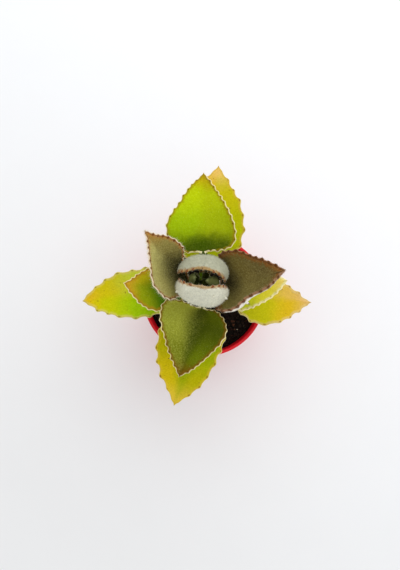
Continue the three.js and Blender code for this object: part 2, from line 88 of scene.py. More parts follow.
# The stem, with a swelling and a scar at each leaf pair.
STEM_BOTTOM = 60
STEM_TOP = 136
STEM_TIP_HEIGHT = 1.5
STEM_BASE_RADIUS = 5.2
STEM_TOP_RADIUS = 2.4
NODE_SWELLING = 0.7
NODE_LENGTH = 1.8
SCAR_DROP = 1.6
SCAR_LENGTH = 0.5
STEM_SIDES = 48
STEM_RINGS = 150
STEM_HAIRS = 2.5
STEM_HAIR_LENGTH = 0.45

# Leaf blades, as in the solids but finer. Each half is a sheet of ROWS by COLUMNS, and the columns crowd
# toward its margin. Its first BASE_ROWS fan out of the first BASE_RIB of the rib. The margin starts at
# BLADE_START: a share of the blade's length, and its distance from the rib in stalk radii. Rows meet the
# margin at a slant, so the way to the edge is only the share ROW_SLANT of the way along them.
MARGIN_HALF_THICKNESS = 0.5
RIB_HALF_THICKNESS = 1.3
THINNEST_SHARE = 0.75
ROWS = 112
COLUMNS = 18
RIM_STEPS = 3
RIM_BULGE = 0.9
BASE_ROWS = 0.24
BASE_RIB = 0.07
BLADE_START = (0.02, 0.8)
COLUMN_CROWDING = 1.25
ROW_SLANT = 0.85
WAVE_HEIGHT = 1
WAVES = 2.5
FULL_WIDTH = 16
FOLD_STEPS = 8
VALLEY_ROUNDING = 5
CURVE_SAMPLES = 201

# The margin's teeth: their height against their length, how unevenly they are spaced and sized, how they
# lean and narrow, over how many of them they fade at the blade's ends, and how fast they fade inward. A nub
# is the brown tip of a tooth.
TOOTH_SHARE = 0.11
TOOTH_STRAY = 0.16
TOOTH_SIZES = (0.6, 1.4)
TOOTH_LEAN = 1.25
TOOTH_SHARPNESS = 1.6
TOOTH_RISE = 1.35
TOOTH_CUT = 0.3
TOOTH_FADE = 1.5
TOOTH_INWARD_FADE = 8
NUB_REACH = 1.3
NUB_SWELLING = 0.1
TIP_NUB = 0.3

# The side veins, the crease over the rib and the keel under it.
VEINS = 6
VEIN_GROOVE = 0.05
VEIN_RIDGE = 0.16
CREASE_DEPTH = 0.06
CREASE_WIDTH = 1.6
KEEL_DEPTH = 0.9
KEEL_WIDTH = 2.4
KEEL_END = 0.6

# Leaf stalks. Half width, half height and drop below the rib are in stalk radii at six stops: its foot, its
# middle, just before and after the blade's base, and the end and the point of the keel that it runs on as.
STALK_RADIUS = 2.9
STALK_SIDES = 20
STALK_STEPS = 30
STALK_WIDTHS = (1.15, 1.1, 1, 0.95, 0.3, 0.02)
STALK_HEIGHTS = (1.1, 0.95, 0.85, 0.75, 0.25, 0.02)
STALK_DROPS = (0, 0, 0.1, 0.3, 0.3, 0)
STALK_GROOVE = 0.25
STALK_FELT_BLEND = 0.8

# Fangs under the leaves: where their rows lie from base to tip, and how far out from the rib they stand.
FANG_ROWS = {0.2: (0.35, 0.68), 0.36: (0.3, 0.62), 0.53: (0.3, 0.65), 0.7: (0.45,)}
FANG_HEIGHT = 4.8
FANG_RADIUS = 1.6
FANG_ROOT = 0.4
FANG_LEAN = 0.35
FANG_SIDES = 12
FANG_RINGS = 6
# Points on stalks and fangs count as this far from a leaf's edge.
FAR_FROM_EDGE = 5

# Felt. A hair's root is sunk by HAIR_ROOT, and it bends at the share HAIR_BEND of its length.
HAIR_WIDTH = 0.05
WISP_WIDTH = 0.045
WISP_BAND = 0.6
HAIR_ROOT = 0.05
HAIR_BEND = 0.55
HAIR_LENGTHS = (0.5, 1.15)
SHORT_HAIR_BAND = 2
SHORT_HAIR_SHARE = 0.25

# Each leaf's rib runs from the stem's axis at height `node` through the end of its stalk, the middle of
# its blade and its tip. `left` and `right` are its halves as seen walking from the stalk to the tip: pairs
# of (share of the blade's length, distance from the rib), then the fold: how steeply the half rises beside
# the rib, and how much more it has turned up at its margin, in degrees. `azimuth` is the way an upright
# leaf faces, in degrees from +X. Past its widest place an `arched` leaf turns up less where it is
# narrower, so that its margin runs straight across its tip. The young leaves also say how thick their
# `stalk` and how long their fangs are against the others', how far along the blade the `keel` runs, and
# if they have `fangs`.
LEAVES = {
    "leaf_pair1_west": dict(
        node=80, rib=[(-24, -1, 88), (-54, -3, 93), (-86.3, -5.8, 84)], teeth=8,
        left=([(0.03, 9), (0.19, 15), (0.42, 16.6), (0.66, 12.6), (0.86, 6)], (8, 20)),
        right=([(0.03, 10), (0.18, 17), (0.42, 17), (0.66, 13.3), (0.88, 6.3)], (8, 20)),
    ),
    "leaf_pair1_east": dict(
        node=80, rib=[(21, -2, 88), (47, -4.5, 93), (75.4, -6.9, 84)], teeth=8,
        left=([(0.03, 10), (0.19, 16), (0.42, 15.8), (0.66, 9.8), (0.86, 3.4)], (8, 20)),
        right=([(0.03, 8), (0.16, 14.5), (0.38, 20.3), (0.62, 15.6), (0.84, 6.8)], (8, 20)),
    ),
    "leaf_pair2_north": dict(
        node=89, rib=[(1.5, 20, 98), (5, 54, 104), (10.3, 89.8, 95)], teeth=9,
        left=([(0.02, 13), (0.16, 22.5), (0.4, 24), (0.67, 15), (0.88, 5.3)], (8, 20)),
        right=([(0.02, 12), (0.2, 22), (0.4, 23.3), (0.66, 16), (0.86, 6.8)], (8, 20)),
    ),
    "leaf_pair2_south": dict(
        node=89, rib=[(-3, -19, 98), (-11, -46, 103), (-20.5, -77.9, 95)], teeth=9,
        left=([(0.02, 11), (0.16, 19.5), (0.4, 19), (0.66, 15), (0.86, 7)], (8, 20)),
        right=([(0.02, 13), (0.16, 23), (0.4, 23), (0.67, 15.7), (0.88, 5.8)], (8, 20)),
    ),
    "leaf_pair3_west": dict(
        node=99, rib=[(-16, 0, 109), (-34, 0.5, 118), (-52.1, 0.9, 126)], teeth=13,
        left=([(0.02, 9), (0.2, 15.5), (0.5, 17.7), (0.75, 13.2), (0.91, 5.9)], (10, 25)),
        right=([(0.02, 9), (0.2, 15), (0.45, 14), (0.69, 9.4), (0.9, 2.6)], (10, 25)),
    ),
    "leaf_pair3_east": dict(
        node=99, rib=[(16, 0, 109), (35, 1.5, 118), (53, 2.6, 126)], teeth=13,
        left=([(0.02, 9), (0.2, 15), (0.45, 15), (0.72, 9.4), (0.9, 3.4)], (10, 25)),
        right=([(0.02, 10), (0.2, 16.5), (0.42, 16), (0.7, 11.4), (0.9, 5)], (10, 25)),
    ),
    "leaf_pair4_north": dict(
        node=109, rib=[(-1, 23, 120), (-2, 48, 127), (-0.7, 75, 124)], teeth=15,
        left=([(0.02, 12), (0.15, 22), (0.36, 23.5), (0.58, 15.2), (0.82, 7.6)], (6, 30)),
        right=([(0.03, 12), (0.1, 20.5), (0.3, 21.8), (0.55, 16.2), (0.82, 7.2)], (6, 30)),
    ),
    "leaf_pair4_south": dict(
        node=109, rib=[(-2, -15, 118), (-8, -36, 126), (-16.2, -58.4, 124)], teeth=15,
        left=([(0.03, 9), (0.18, 17.5), (0.36, 20), (0.62, 13.4), (0.86, 6)], (14, 20)),
        right=([(0.03, 14), (0.12, 25), (0.35, 25.5), (0.6, 17), (0.84, 7.3)], (14, 20)),
    ),
    "leaf_pair5_west": dict(
        node=118, rib=[(-11, 2, 127), (-24.6, 13, 141), (-36.8, 29.9, 150)], teeth=15,
        left=([(0.09, 13.5), (0.2, 19.8), (0.46, 20.8), (0.6, 13.5), (0.82, 5.4)], (14, 65)),
        right=([(0.11, 4), (0.3, 7.6), (0.55, 14.4), (0.76, 11.6), (0.9, 4)], (18, 30)),
    ),
    "leaf_pair5_east": dict(
        node=118, rib=[(11, 0, 127), (29, 1, 140), (48.8, 5.8, 149)], teeth=15,
        left=([(0.1, 14), (0.16, 21.3), (0.45, 21.8), (0.66, 15.3), (0.84, 8.4)], (14, 50)),
        right=([(0.04, 15), (0.15, 25.5), (0.36, 25.5), (0.52, 16.3), (0.76, 11.2)], (6, 105)),
    ),
    "leaf_pair6_north": dict(
        node=127, rib=[(1, 8, 133), (1, 15.6, 142), (-1, 6, 154.5)],
        azimuth=82, teeth=11, stalk=0.8, keel=0.35, arched=True, fang_length=0.3,
        left=([(0.04, 5), (0.2, 7.5), (0.4, 15), (0.62, 22.5), (0.86, 16)], (10, 88)),
        right=([(0.04, 5), (0.2, 8), (0.4, 14), (0.62, 23), (0.86, 15.5)], (4, 122)),
    ),
    "leaf_pair6_south": dict(
        node=127, rib=[(-1.5, -8, 133), (-2, -14.6, 142), (-2, -5, 154.5)],
        azimuth=259, teeth=11, stalk=0.8, keel=0.35, arched=True, fang_length=0.85,
        left=([(0.04, 5), (0.2, 9), (0.4, 15), (0.62, 23), (0.86, 15)], (4, 124)),
        right=([(0.04, 6), (0.2, 9), (0.4, 15.5), (0.62, 26.5), (0.86, 18)], (4, 118)),
    ),
    "leaf_pair7_west": dict(
        node=133, rib=[(-4.2, 0.3, 137), (-9.2, 1.2, 142.5), (-6, 1.4, 149.5)],
        azimuth=174, teeth=5, stalk=0.5, fangs=False,
        left=([(0.08, 4), (0.42, 5.4), (0.75, 3)], (8, 70)),
        right=([(0.08, 4), (0.42, 5.4), (0.75, 3.2)], (8, 70)),
    ),
    "leaf_pair7_east": dict(
        node=133, rib=[(4.2, -0.9, 137), (8, -1.2, 142), (0.8, -0.8, 149)],
        azimuth=-6, teeth=5, stalk=0.5, fangs=False,
        left=([(0.08, 3.5), (0.42, 5.2), (0.75, 3.6)], (8, 70)),
        right=([(0.08, 3.5), (0.42, 5.2), (0.75, 3)], (8, 70)),
    ),
}

# How each leaf is coloured. `left` and `right` are the colours of its halves' upper faces at COLOUR_STOPS,
# from base to tip, and `left` alone goes for both; on some leaves they hold painted light and shade as well,
# as their own comments say. `valley` darkens the fold with painted shade over some real darker green: a
# colour, the share of each half it covers, and of the blade's length. `margin` is a band inside the edge,
# `line` the thin line at it and `blush` a band inside the edge of the lower face: a colour, its width in mm
# and its strength. `nub` colours the teeth's tips from where their nub value is `nub_start`. `under` is the
# felt below, `lips` how far (mm) it stands out past the edge of the left and the right half. `specks` are
# the pale tufts on the left and right, `spots` how strong the brown spots are, and `mottle` how much lighter
# and darker its patches are. `stalk_felt` is how pale the stalk's top is, and how far down its side the felt
# starts, from -1 to 1. `tips` colours the hairs' ends, and `sheen` is the felt's soft shine. `hair` is the
# felt's length in mm, `hairs` how many hairs stand on a square millimetre above and below, and `wisps` how
# many longer ones on a square millimetre at the edge, with their length.
COLOUR_STOPS = (0.0, 0.35, 0.7, 1.0)
OLD = dict(
    under="#ece6b8", blush=("#c8b468", 1.0, 0.4), line=("#c0a440", 0.4, 0.2), nub_start=0.5,
    lips=(0.1, 0.1), specks=("#e0e068", 0.06, 0.06), spots=0.7, mottle=0.06, sheen=0.0,
    stalk_felt=(0.1, -0.4), tips="#e0de94", hair=0.3, hairs=(0.2, 1.2), wisps=(0.5, 0.6),
)
GREEN = dict(
    under="#fcf4c8", blush=("#e4cc84", 1.0, 0.4), line=("#8c6420", 0.5, 0.35), nub_start=0.5,
    lips=(0.25, 0.25), specks=("#ccd460", 0.1, 0.1), mottle=0.06, sheen=0.0,
    stalk_felt=(0, -0.2), tips="#f0ecb0", hair=0.35, hairs=(0.5, 2), wisps=(1, 0.8),
)
FELTED = dict(
    under="#f2ece0", blush=("#a06c3c", 1.0, 0.3), line=("#6c3810", 0.7, 0.8), nub_start=0.1,
    lips=(0.4, 0.4), specks=("#b8b070", 0.22, 0.22), mottle=0.12, sheen=0.06,
    stalk_felt=(0.5, -0.7), tips="#d4ccac", hair=0.5, hairs=(1.5, 4), wisps=(3, 2),
)
# The bud's leaves fold inward, so their upper faces lie inside it: the dark olive there, darkest at the base
# and in the fold, is partly painted shade over their own green.
BUD = dict(
    left="#484c16 #5c5c1e #686626 #6c6830",
    valley=("#3a3e10", 0.5, 0.9), margin=("#5c5828", 1.5, 0.5), line=("#a8703c", 0.7, 0.8),
    under="#d9d7c4", blush=("#a87c34", 2.0, 0.8), nub="#7c3c10", nub_start=0.1,
    lips=(0.1, 0.1), specks=("#40500c", 0.2, 0.2), mottle=0.1, sheen=0.1,
    stalk_felt=(0, 0.1), tips="#e1e2d2", hair=1.2, hairs=(0.2, 9), wisps=(6, 1.2),
)
# The innermost pair, deep inside the bud: both its faces are painted dark olive, darkest at the base and in
# the fold, as painted shade over its own green.
HEART_IN_SHADE = dict(
    left="#2c300e #3e4616 #545a26 #6c7040",
    valley=("#20260a", 0.4, 0.9), margin=("#7c7c48", 0.8, 0.6), line=("#a4a878", 0.4, 0.8),
    under="#666a3a", blush=("#8c9460", 0.8, 0.6), nub="#8c7c50", nub_start=0.3,
    lips=(0.1, 0.1), specks=("#6c7830", 0.3, 0.3), mottle=0.06, sheen=0.02,
    stalk_felt=(0, 0.1), tips="#72763e", hair=0.3, hairs=(2, 2.5), wisps=(1, 0.4),
)
LOOKS = {
    "leaf_pair1_west": dict(
        OLD, left="#84b00e #9ec404 #c2c402 #e0b610", right="#a2b430 #bcc638 #cdbc0a #dab01e",
        valley=("#94b408", 0.4, 0.5), margin=("#d6c66c", 1.6, 0.6), nub="#8c8030",
    ),
    "leaf_pair1_east": dict(
        OLD, left="#acb41c #c8b424 #d6b04c #dcae6c", right="#a4b410 #beba0e #d0ac18 #d8ae60",
        valley=("#a8b010", 0.4, 0.4), margin=("#dcc080", 1.6, 0.6), nub="#9c7438",
    ),
    "leaf_pair2_north": dict(
        OLD, left="#a4ae06 #c4b404 #ccaa0c #e2b864", right="#a8b204 #b6bc02 #bcb208 #e2b864",
        valley=("#a6b204", 0.4, 0.6), margin=("#cca83c", 1.5, 0.6), nub="#94702c",
    ),
    "leaf_pair2_south": dict(
        OLD, left="#84a202 #a2b202 #b6ae02 #d8b838", right="#a6a604 #b8b202 #d0b80c #d8b838",
        valley=("#7c9c02", 0.6, 1.15), margin=("#dcbc34", 1.6, 0.6), nub="#8c6828",
    ),
    "leaf_pair3_west": dict(
        GREEN, left="#375c02 #4b7602 #94a006 #cc9d20", right="#4c6c02 #768604 #b0a408 #c99c24",
        valley=("#3c6400", 0.75, 0.9), margin=("#bc8c20", 2.4, 0.7), nub="#94602c",
    ),
    "leaf_pair3_east": dict(
        GREEN, left="#a4b618 #c4cb24 #d7cb34 #e7c76c",
        valley=("#a0b010", 0.5, 0.6), margin=("#d8d068", 1.6, 0.5), nub="#c0a45c",
        line=("#e4dca0", 0.6, 0.8), lips=(0.3, 0.45),
    ),
    # Its dark green base, across its whole width, is painted shadow of the leaves above it.
    "leaf_pair4_north": dict(
        GREEN, left="#344502 #9cb802 #b4c402 #b69604", right="#3d4c02 #a0b004 #aab602 #b09004",
        valley=("#405800", 1.0, 0.25), margin=("#9c8808", 2.0, 0.6), nub="#6c4410",
        lips=(0.05, 0.5),
    ),
    # Its halves' colours paint the light on the folded blade: the right (west) half lighter, as lit, and the
    # left (east) half darker, as shaded; its dark fold is painted shade too.
    "leaf_pair4_south": dict(
        GREEN, left="#606a04 #444e02 #5f6c02 #684a04", right="#b0b03c #949830 #6e7410 #684a04",
        valley=("#343e00", 0.55, 1.2), margin=("#74540e", 1.8, 0.7), nub="#5c3c10",
        specks=("#c6c860", 0.06, 0.36), sheen=0.01, hairs=(0.7, 2.5),
    ),
    # The near-black base of its right half, next to the bud, and its dark fold are painted shade in its cup.
    "leaf_pair5_west": dict(
        FELTED, left="#8c8448 #a69e58 #b0a862 #a27c38", right="#201c08 #242008 #8a7e40 #a27831",
        valley=("#221e06", 0.8, 0.85), margin=("#b8843e", 2.6, 0.7), nub="#6a3410",
        line=("#8c5420", 1.0, 0.7), blush=("#e0c898", 1.2, 0.6), lips=(0.2, 0.1), wisps=(5, 2.4),
    ),
    # The darker base of its left half and its near-black fold are painted shade beside the bud.
    "leaf_pair5_east": dict(
        FELTED, left="#382c0e #6c5e2a #5e5028 #62461c", right="#847a3a #766a36 #665a2c #5c4020",
        valley=("#1e1604", 0.6, 0.5), margin=("#8e5a24", 5.0, 0.9), tips="#b0a480", nub="#58300e",
        line=("#643810", 1.6, 0.8), blush=("#8a5418", 1.5, 0.9), lips=(0.1, 0.8), wisps=(5, 1.6),
    ),
    "leaf_pair6_north": dict(BUD, under="#b4b49c", tips="#c0c0ac"),
    "leaf_pair6_south": BUD,
    "leaf_pair7_west": HEART_IN_SHADE,
    "leaf_pair7_east": HEART_IN_SHADE,
}
# Leaves whose lower face is turned to the viewer, with brown tips on its teeth as well.
NUBS_BELOW = ("leaf_pair5_east", "leaf_pair6_north", "leaf_pair6_south")

# The leaves' skin: the sizes of its patches, mottling, spots and felt grain, how far the patches make its
# colours sway along and across the blade, over what share of a half the two halves' colours blend, and where
# from upper face (0) to lower face (1) the rim turns pale.
SPOT_COLOUR = "#7c4c14"
PATCH_SIZE = 9
MOTTLE_SIZE = 1.6
SPOT_SIZE = 2.4
FELT_GRAIN = 0.8
SWAY_ALONG = 0.16
SWAY_ACROSS = 0.5
HALF_BLEND = 0.3
RIM_BLEND = (0.15, 0.5)
# How strong the painted shade in the fold is, and at what share of its length it starts to fade.
FOLD_SHADE_STRENGTH = 0.92
FOLD_SHADE_FADE = 0.35
BAND_RAGGEDNESS = 1.6
LEAF_GLOSS = 0.04
SHEEN_ROUGHNESS = 0.5

# The photograph's camera: how high it looks down from, how far it is, and where the pot's rim lies in the
# frame.
FRAME_WIDTH = 400
FRAME_HEIGHT = 570
CAMERA_ELEVATION = 82
CAMERA_DISTANCE = 450
FOCAL_PIXELS = 614
SENSOR = 36
NEAREST_VISIBLE = 10
RIM_CENTRE_PIXEL = (204.2, 294.5)

# The light of a window behind the plant and of the room, in watts and as a share of full white.
WINDOW_PLACE = (350, 600, 900)
WINDOW_TARGET = (0, 0, 60)
WINDOW_SIZE = 1600
WINDOW_POWER = 5.5
ROOM_COLOUR = (0.97, 0.985, 1, 1)
ROOM_LIGHT = 0.88

# The paper floor, painted greyer toward the viewer as shade where the window's light falls off.
FLOOR_REACH = 3000
FLOOR_SHADE_FADE = 200
FLOOR_TURN = -35
FLOOR_PATCH_SIZE = 40


def srgb(text):
    """A colour written as #rrggbb, as the linear values that shaders take."""
    values = [int(text[i:i + 2], 16) / 255 for i in (1, 3, 5)]
    linear = [v / 12.92 if v <= 0.04045 else ((v + 0.055) / 1.055) ** 2.4 for v in values]
    return (*linear, 1)


def smoothstep(value, low, high):
    share = np.clip((value - low) / (high - low), 0, 1)
    return share * share * (3 - 2 * share)


def unit(vectors):
    return vectors / np.maximum(np.linalg.norm(vectors, axis=-1, keepdims=True), 1e-12)


def circle(sides):
    """The corners of a regular polygon of radius 1."""
    angle = 2 * np.pi * np.arange(sides) / sides
    return np.stack([np.cos(angle), np.sin(angle)], 1)


def tube_faces(rings, sides):
    """Faces that join each ring of points to the next."""
    faces = []
    for start in range(0, (rings - 1) * sides, sides):
        for i in range(sides):
            a = start + i
            b = start + (i + 1) % sides
            faces.append((a, b, b + sides, a + sides))
    return faces


def lathe_faces(rings, sides):
    """Faces of a turned surface: a point on its axis, rings of points, and a last point on its axis."""
    faces = []
    last_ring = 1 + (rings - 1) * sides
    for i in range(sides):
        j = (i + 1) % sides
        faces.append((0, 1 + j, 1 + i))
        for start in range(1, last_ring, sides):
            faces.append((start + i, start + j, start + sides + j, start + sides + i))
        faces.append((last_ring + sides, last_ring + i, last_ring + j))
    return faces


class SmoothCurve:
    """A centripetal Catmull-Rom curve through the given points, read by share of its length."""

    def __init__(self, points):
        points = np.asarray(points, float)
        before = 2 * points[0] - points[1]
        after = 2 * points[-1] - points[-2]
        self.points = np.vstack([before, points, after])
        self.spans = len(points) - 1
        self.shares = np.linspace(0, 1, CURVE_SAMPLES)
        steps = np.linalg.norm(np.diff(self.raw(self.shares), axis=0), axis=1)
        self.lengths = np.concatenate([[0], np.cumsum(steps)])
        self.length = self.lengths[-1]

    def raw(self, shares):
        place = np.clip(shares, 0, 1) * self.spans
        span = np.minimum(place.astype(int), self.spans - 1)
        weight = (place - span)[:, None]
        p0, p1, p2, p3 = (self.points[span + i] for i in range(4))
        pairs = ((p0, p1), (p1, p2), (p2, p3))
        d0, d1, d2 = (np.linalg.norm(b - a, axis=1)[:, None] ** 0.5 for a, b in pairs)
        start = ((p1 - p0) / d0 - (p2 - p0) / (d0 + d1) + (p2 - p1) / d1) * d1
        end = ((p2 - p1) / d1 - (p3 - p1) / (d1 + d2) + (p3 - p2) / d2) * d1
        square = -3 * p1 + 3 * p2 - 2 * start - end
        cube = 2 * p1 - 2 * p2 + start + end
        return p1 + start * weight + square * weight ** 2 + cube * weight ** 3

    def share_at(self, length_share):
        place = np.clip(np.atleast_1d(length_share), 0, 1) * self.length
        return np.interp(place, self.lengths, self.shares)

    def at(self, length_share):
        return self.raw(self.share_at(length_share))

    def direction(self, length_share):
        share = self.share_at(length_share)
        step = 1e-4
        return unit(self.raw(np.minimum(share + step, 1)) - self.raw(np.maximum(share - step, 0)))


def fold_path(base, gain, share):
    """How far out and up a folded half reaches at `share` of its way to the margin, for a half 1 mm wide."""
    out = np.zeros_like(share)
    rise = np.zeros_like(share)
    for i in range(FOLD_STEPS):
        middle = share * (i + 0.5) / FOLD_STEPS
        angle = np.radians(base + gain * middle ** 2)
        out = out + np.cos(angle) * share / FOLD_STEPS
        rise = rise + np.sin(angle) * share / FOLD_STEPS
    return out, rise


def rib_share(row):
    """Where on the rib the strip that meets the margin at `row` starts."""
    spread = BASE_RIB + (row - BASE_ROWS) / (1 - BASE_ROWS) * (1 - BASE_RIB)
    return np.where(row < BASE_ROWS, BASE_RIB * row / BASE_ROWS, spread)


class Half:
    """One half of a leaf, from its rib out to its margin."""

    def __init__(self, leaf, sign, blade_length, outline, fold):
        start_along, start_reach = BLADE_START
        start = (start_along, start_reach * STALK_RADIUS * min(1, leaf.get("stalk", 1)))
        widest_along, self.width = max(outline, key=lambda point: point[1])
        self.widest_at = widest_along * blade_length
        self.sign = sign
        self.fold = fold
        points = (start, *outline, (1, 0))
        self.margin = SmoothCurve([(along * blade_length, reach, 0) for along, reach in points])


class LeafShape:
    """One leaf's shape: its rib in space, its flat outline and the fold that lifts its halves."""

    def __init__(self, leaf):
        points = np.array([(0, 0, leaf["node"]), *leaf["rib"]], float)
        self.leaf = leaf
        self.curve = SmoothCurve(points)
        self.length = self.curve.length
        self.stalk_length = np.interp(1 / 3, self.curve.shares, self.curve.lengths)
        self.blade_length = self.length - self.stalk_length
        ahead = points[3] - points[1]
        heading = math.radians(leaf["azimuth"]) if "azimuth" in leaf else math.atan2(ahead[1], ahead[0])
        self.leftward = np.array([-math.sin(heading), math.cos(heading), 0])
        self.halves = [
            Half(leaf, 1, self.blade_length, *leaf["left"]),
            Half(leaf, -1, self.blade_length, *leaf["right"]),
        ]
        self.width = max(half.width for half in self.halves)
        self.size = min(1, self.width / FULL_WIDTH)

    def rib_frame(self, along, follow_stalk=False):
        """Points and directions on the rib at `along`, where 0 is the blade's base and 1 its tip."""
        along = np.atleast_1d(along)
        kept = along if follow_stalk else np.maximum(along, 0)
        share = np.clip((self.stalk_length + kept * self.blade_length) / self.length, 0, 1)
        forward = self.curve.direction(share)
        point = self.curve.at(share) + forward * ((along - kept) * self.blade_length)[:, None]
        left = unit(self.leftward - forward * (forward @ self.leftward)[:, None])
        return point, left, np.cross(forward, left)

    def at(self, half, row, share, push=0.0):
        """Points of the blade's middle layer, with how far along the blade they are."""
        rib = rib_share(row)
        direction = half.margin.direction(row)
        outward = np.stack([-direction[:, 1], direction[:, 0], 0 * row], 1)
        margin = half.margin.at(row) + outward * np.reshape(push, (-1, 1))
        reach = np.maximum(margin[:, 1], 0)
        along = rib + (margin[:, 0] / self.blade_length - rib) * share
        base, gain = half.fold
        narrowed = self.leaf.get("arched", False) & (margin[:, 0] > half.widest_at)
        turned = np.where(narrowed, np.clip(reach / half.width, 0, 1), 1)
        out, rise = fold_path(base, gain * turned, share)
        wave = WAVE_HEIGHT * self.size * share ** 2 * np.sin(np.pi * row)
        wave = wave * np.sin(2 * np.pi * WAVES * row + half.sign)
        valley = VALLEY_ROUNDING * self.size
        rounding = math.radians(base) * np.maximum(valley - reach * share, 0) ** 2 / (2 * valley)
        wave = wave + rounding * smoothstep(along, 0, 0.1)
        point, left, up = self.rib_frame(along)
        point = point + left * (half.sign * reach * out)[:, None] + up * (reach * rise + wave)[:, None]
        return point, along


def new_object(name, data):
    made = bpy.data.objects.new(name, data)
    bpy.context.scene.collection.objects.link(made)
    return made


class Surface:
    """Points, faces and named values at each point, gathered for one mesh."""

    VALUES = ("along", "across", "edge", "under", "nub", "hair")

    def __init__(self):
        self.points = []
        self.faces = []
        self.values = {name: [] for name in self.VALUES}
        self.count = 0

    def add(self, points, faces, **values):
        start = self.count
        points = np.asarray(points, float).reshape(-1, 3)
        self.points.append(points)
        self.faces.extend([tuple(start + i for i in face) for face in faces])
        for name, parts in self.values.items():
            parts.append(np.broadcast_to(np.asarray(values.get(name, 0.0), float), len(points)))
        self.count += len(points)
        return start

    def value(self, name):
        return np.concatenate(self.values[name])

    def build(self, name, material):
        mesh = bpy.data.meshes.new(name)
        mesh.from_pydata((np.concatenate(self.points) * MM).tolist(), [], self.faces)
        for key in self.VALUES:
            layer = mesh.attributes.new(key, "FLOAT", "POINT")
            layer.data.foreach_set("value", self.value(key).astype(np.float32))
        mesh.validate()
        mesh.shade_smooth()
        mesh.materials.append(material)
        return new_object(name, mesh)


def tooth_profile(shape, half, row, rng):
    """How far the margin stands out at `row`, and how close that is to a tooth's tip, from 0 to 1."""
    teeth = shape.leaf["teeth"]
    height = TOOTH_SHARE * half.margin.length / teeth
    borders = (np.arange(teeth + 1) + rng.uniform(-TOOTH_STRAY, TOOTH_STRAY, teeth + 1)) / teeth
    borders[[0, -1]] = (0, 1)
    tooth = np.clip(np.searchsorted(borders, row, side="right") - 1, 0, teeth - 1)
    place = (row - borders[tooth]) / (borders[tooth + 1] - borders[tooth])
    point = (0.5 - 0.5 * np.cos(2 * np.pi * place ** TOOTH_LEAN)) ** TOOTH_SHARPNESS
    uneven = rng.uniform(*TOOTH_SIZES, teeth)[tooth]
    fade = np.clip(np.minimum(row, 1 - row) * teeth / TOOTH_FADE, 0, 1)
    return height * fade * (TOOTH_RISE * point * uneven - TOOTH_CUT), point * fade


def sheet_normals(points, faces):
    corners = points[np.asarray(faces)]
    across = np.cross(corners[:, 1] - corners[:, 0], corners[:, 2] - corners[:, 0])
    normals = np.zeros_like(points)
    for i in range(3):
        np.add.at(normals, np.asarray(faces)[:, i], across)
    return unit(normals)


class BladeSheet:
    """The blade's middle layer: a grid on each half, sharing the rib, and what each point is like."""

    def __init__(self, shape, rng):
        rows = np.arange(ROWS) / ROWS
        none = np.zeros(ROWS)
        columns = 1 - (1 - np.arange(COLUMNS + 1) / COLUMNS) ** COLUMN_CROWDING
        rib_points, rib_along = shape.at(shape.halves[0], rows, none)
        tip_point, _ = shape.at(shape.halves[0], np.ones(1), np.ones(1))
        rib_edge = np.maximum(np.sin(np.pi * rows), 0.01) * shape.width
        batches = [
            (rib_points, rib_along, none, none, rib_edge, none, rows),
            (tip_point, [1], [0], [0], [0], [TIP_NUB], [1]),
        ]
        self.tip = ROWS
        self.faces = []
        self.grids = []
        count = ROWS + 1
        for half in shape.halves:
            push, point = tooth_profile(shape, half, rows, rng)
            margin, _ = shape.at(half, rows, np.ones(ROWS), push)
            width = np.linalg.norm(margin - rib_points, axis=1)
            grid = [np.arange(ROWS)]
            for share in columns[1:]:
                across = np.full(ROWS, share)
                place, along = shape.at(half, rows, across, push * share ** TOOTH_INWARD_FADE)
                grid.append(count + np.arange(ROWS))
                count += ROWS
                reach = np.minimum(np.linalg.norm(place - rib_points, axis=1), width)
                inside = np.linalg.norm(margin - place, axis=1)
                nub = point ** 2 * np.exp(-(inside / NUB_REACH) ** 2)
                batches.append((place, along, half.sign * across, reach, inside * ROW_SLANT, nub, rows))
            self.grids.append(np.stack(grid, axis=1))
            self.add_grid_faces(self.grids[-1], half.sign)
        joined = [np.concatenate(part) for part in zip(*batches)]
        self.points, along, across, self.reach, edge, nub, self.row = joined
        self.values = {"along": along, "across": across, "edge": edge, "nub": nub}
        self.normals = sheet_normals(self.points, self.faces)

    def add_grid_faces(self, grid, sign):
        for row in range(ROWS):
            for column in range(COLUMNS):
                a, d = grid[row, column:column + 2]
                if row == ROWS - 1:
                    found = [(a, self.tip, d)]
                else:
                    b, c = grid[row + 1, column:column + 2]
                    found = [(a, b, c), (a, c, d)]
                self.faces.extend(found if sign > 0 else [face[::-1] for face in found])

    def border(self):
        """The sheet's outline, anticlockwise seen from above."""
        left, right = self.grids
        base = [*left[0, COLUMNS - 1:0:-1], *right[0, :COLUMNS]]
        return [*right[:, COLUMNS], self.tip, *left[::-1, COLUMNS], *base]

    def outward(self, border):
        """The direction that points out of the blade, within its sheet, at each border point."""
        places = self.points[border]
        along = unit(np.roll(places, -1, axis=0) - np.roll(places, 1, axis=0))
        return unit(np.cross(along, self.normals[border]))


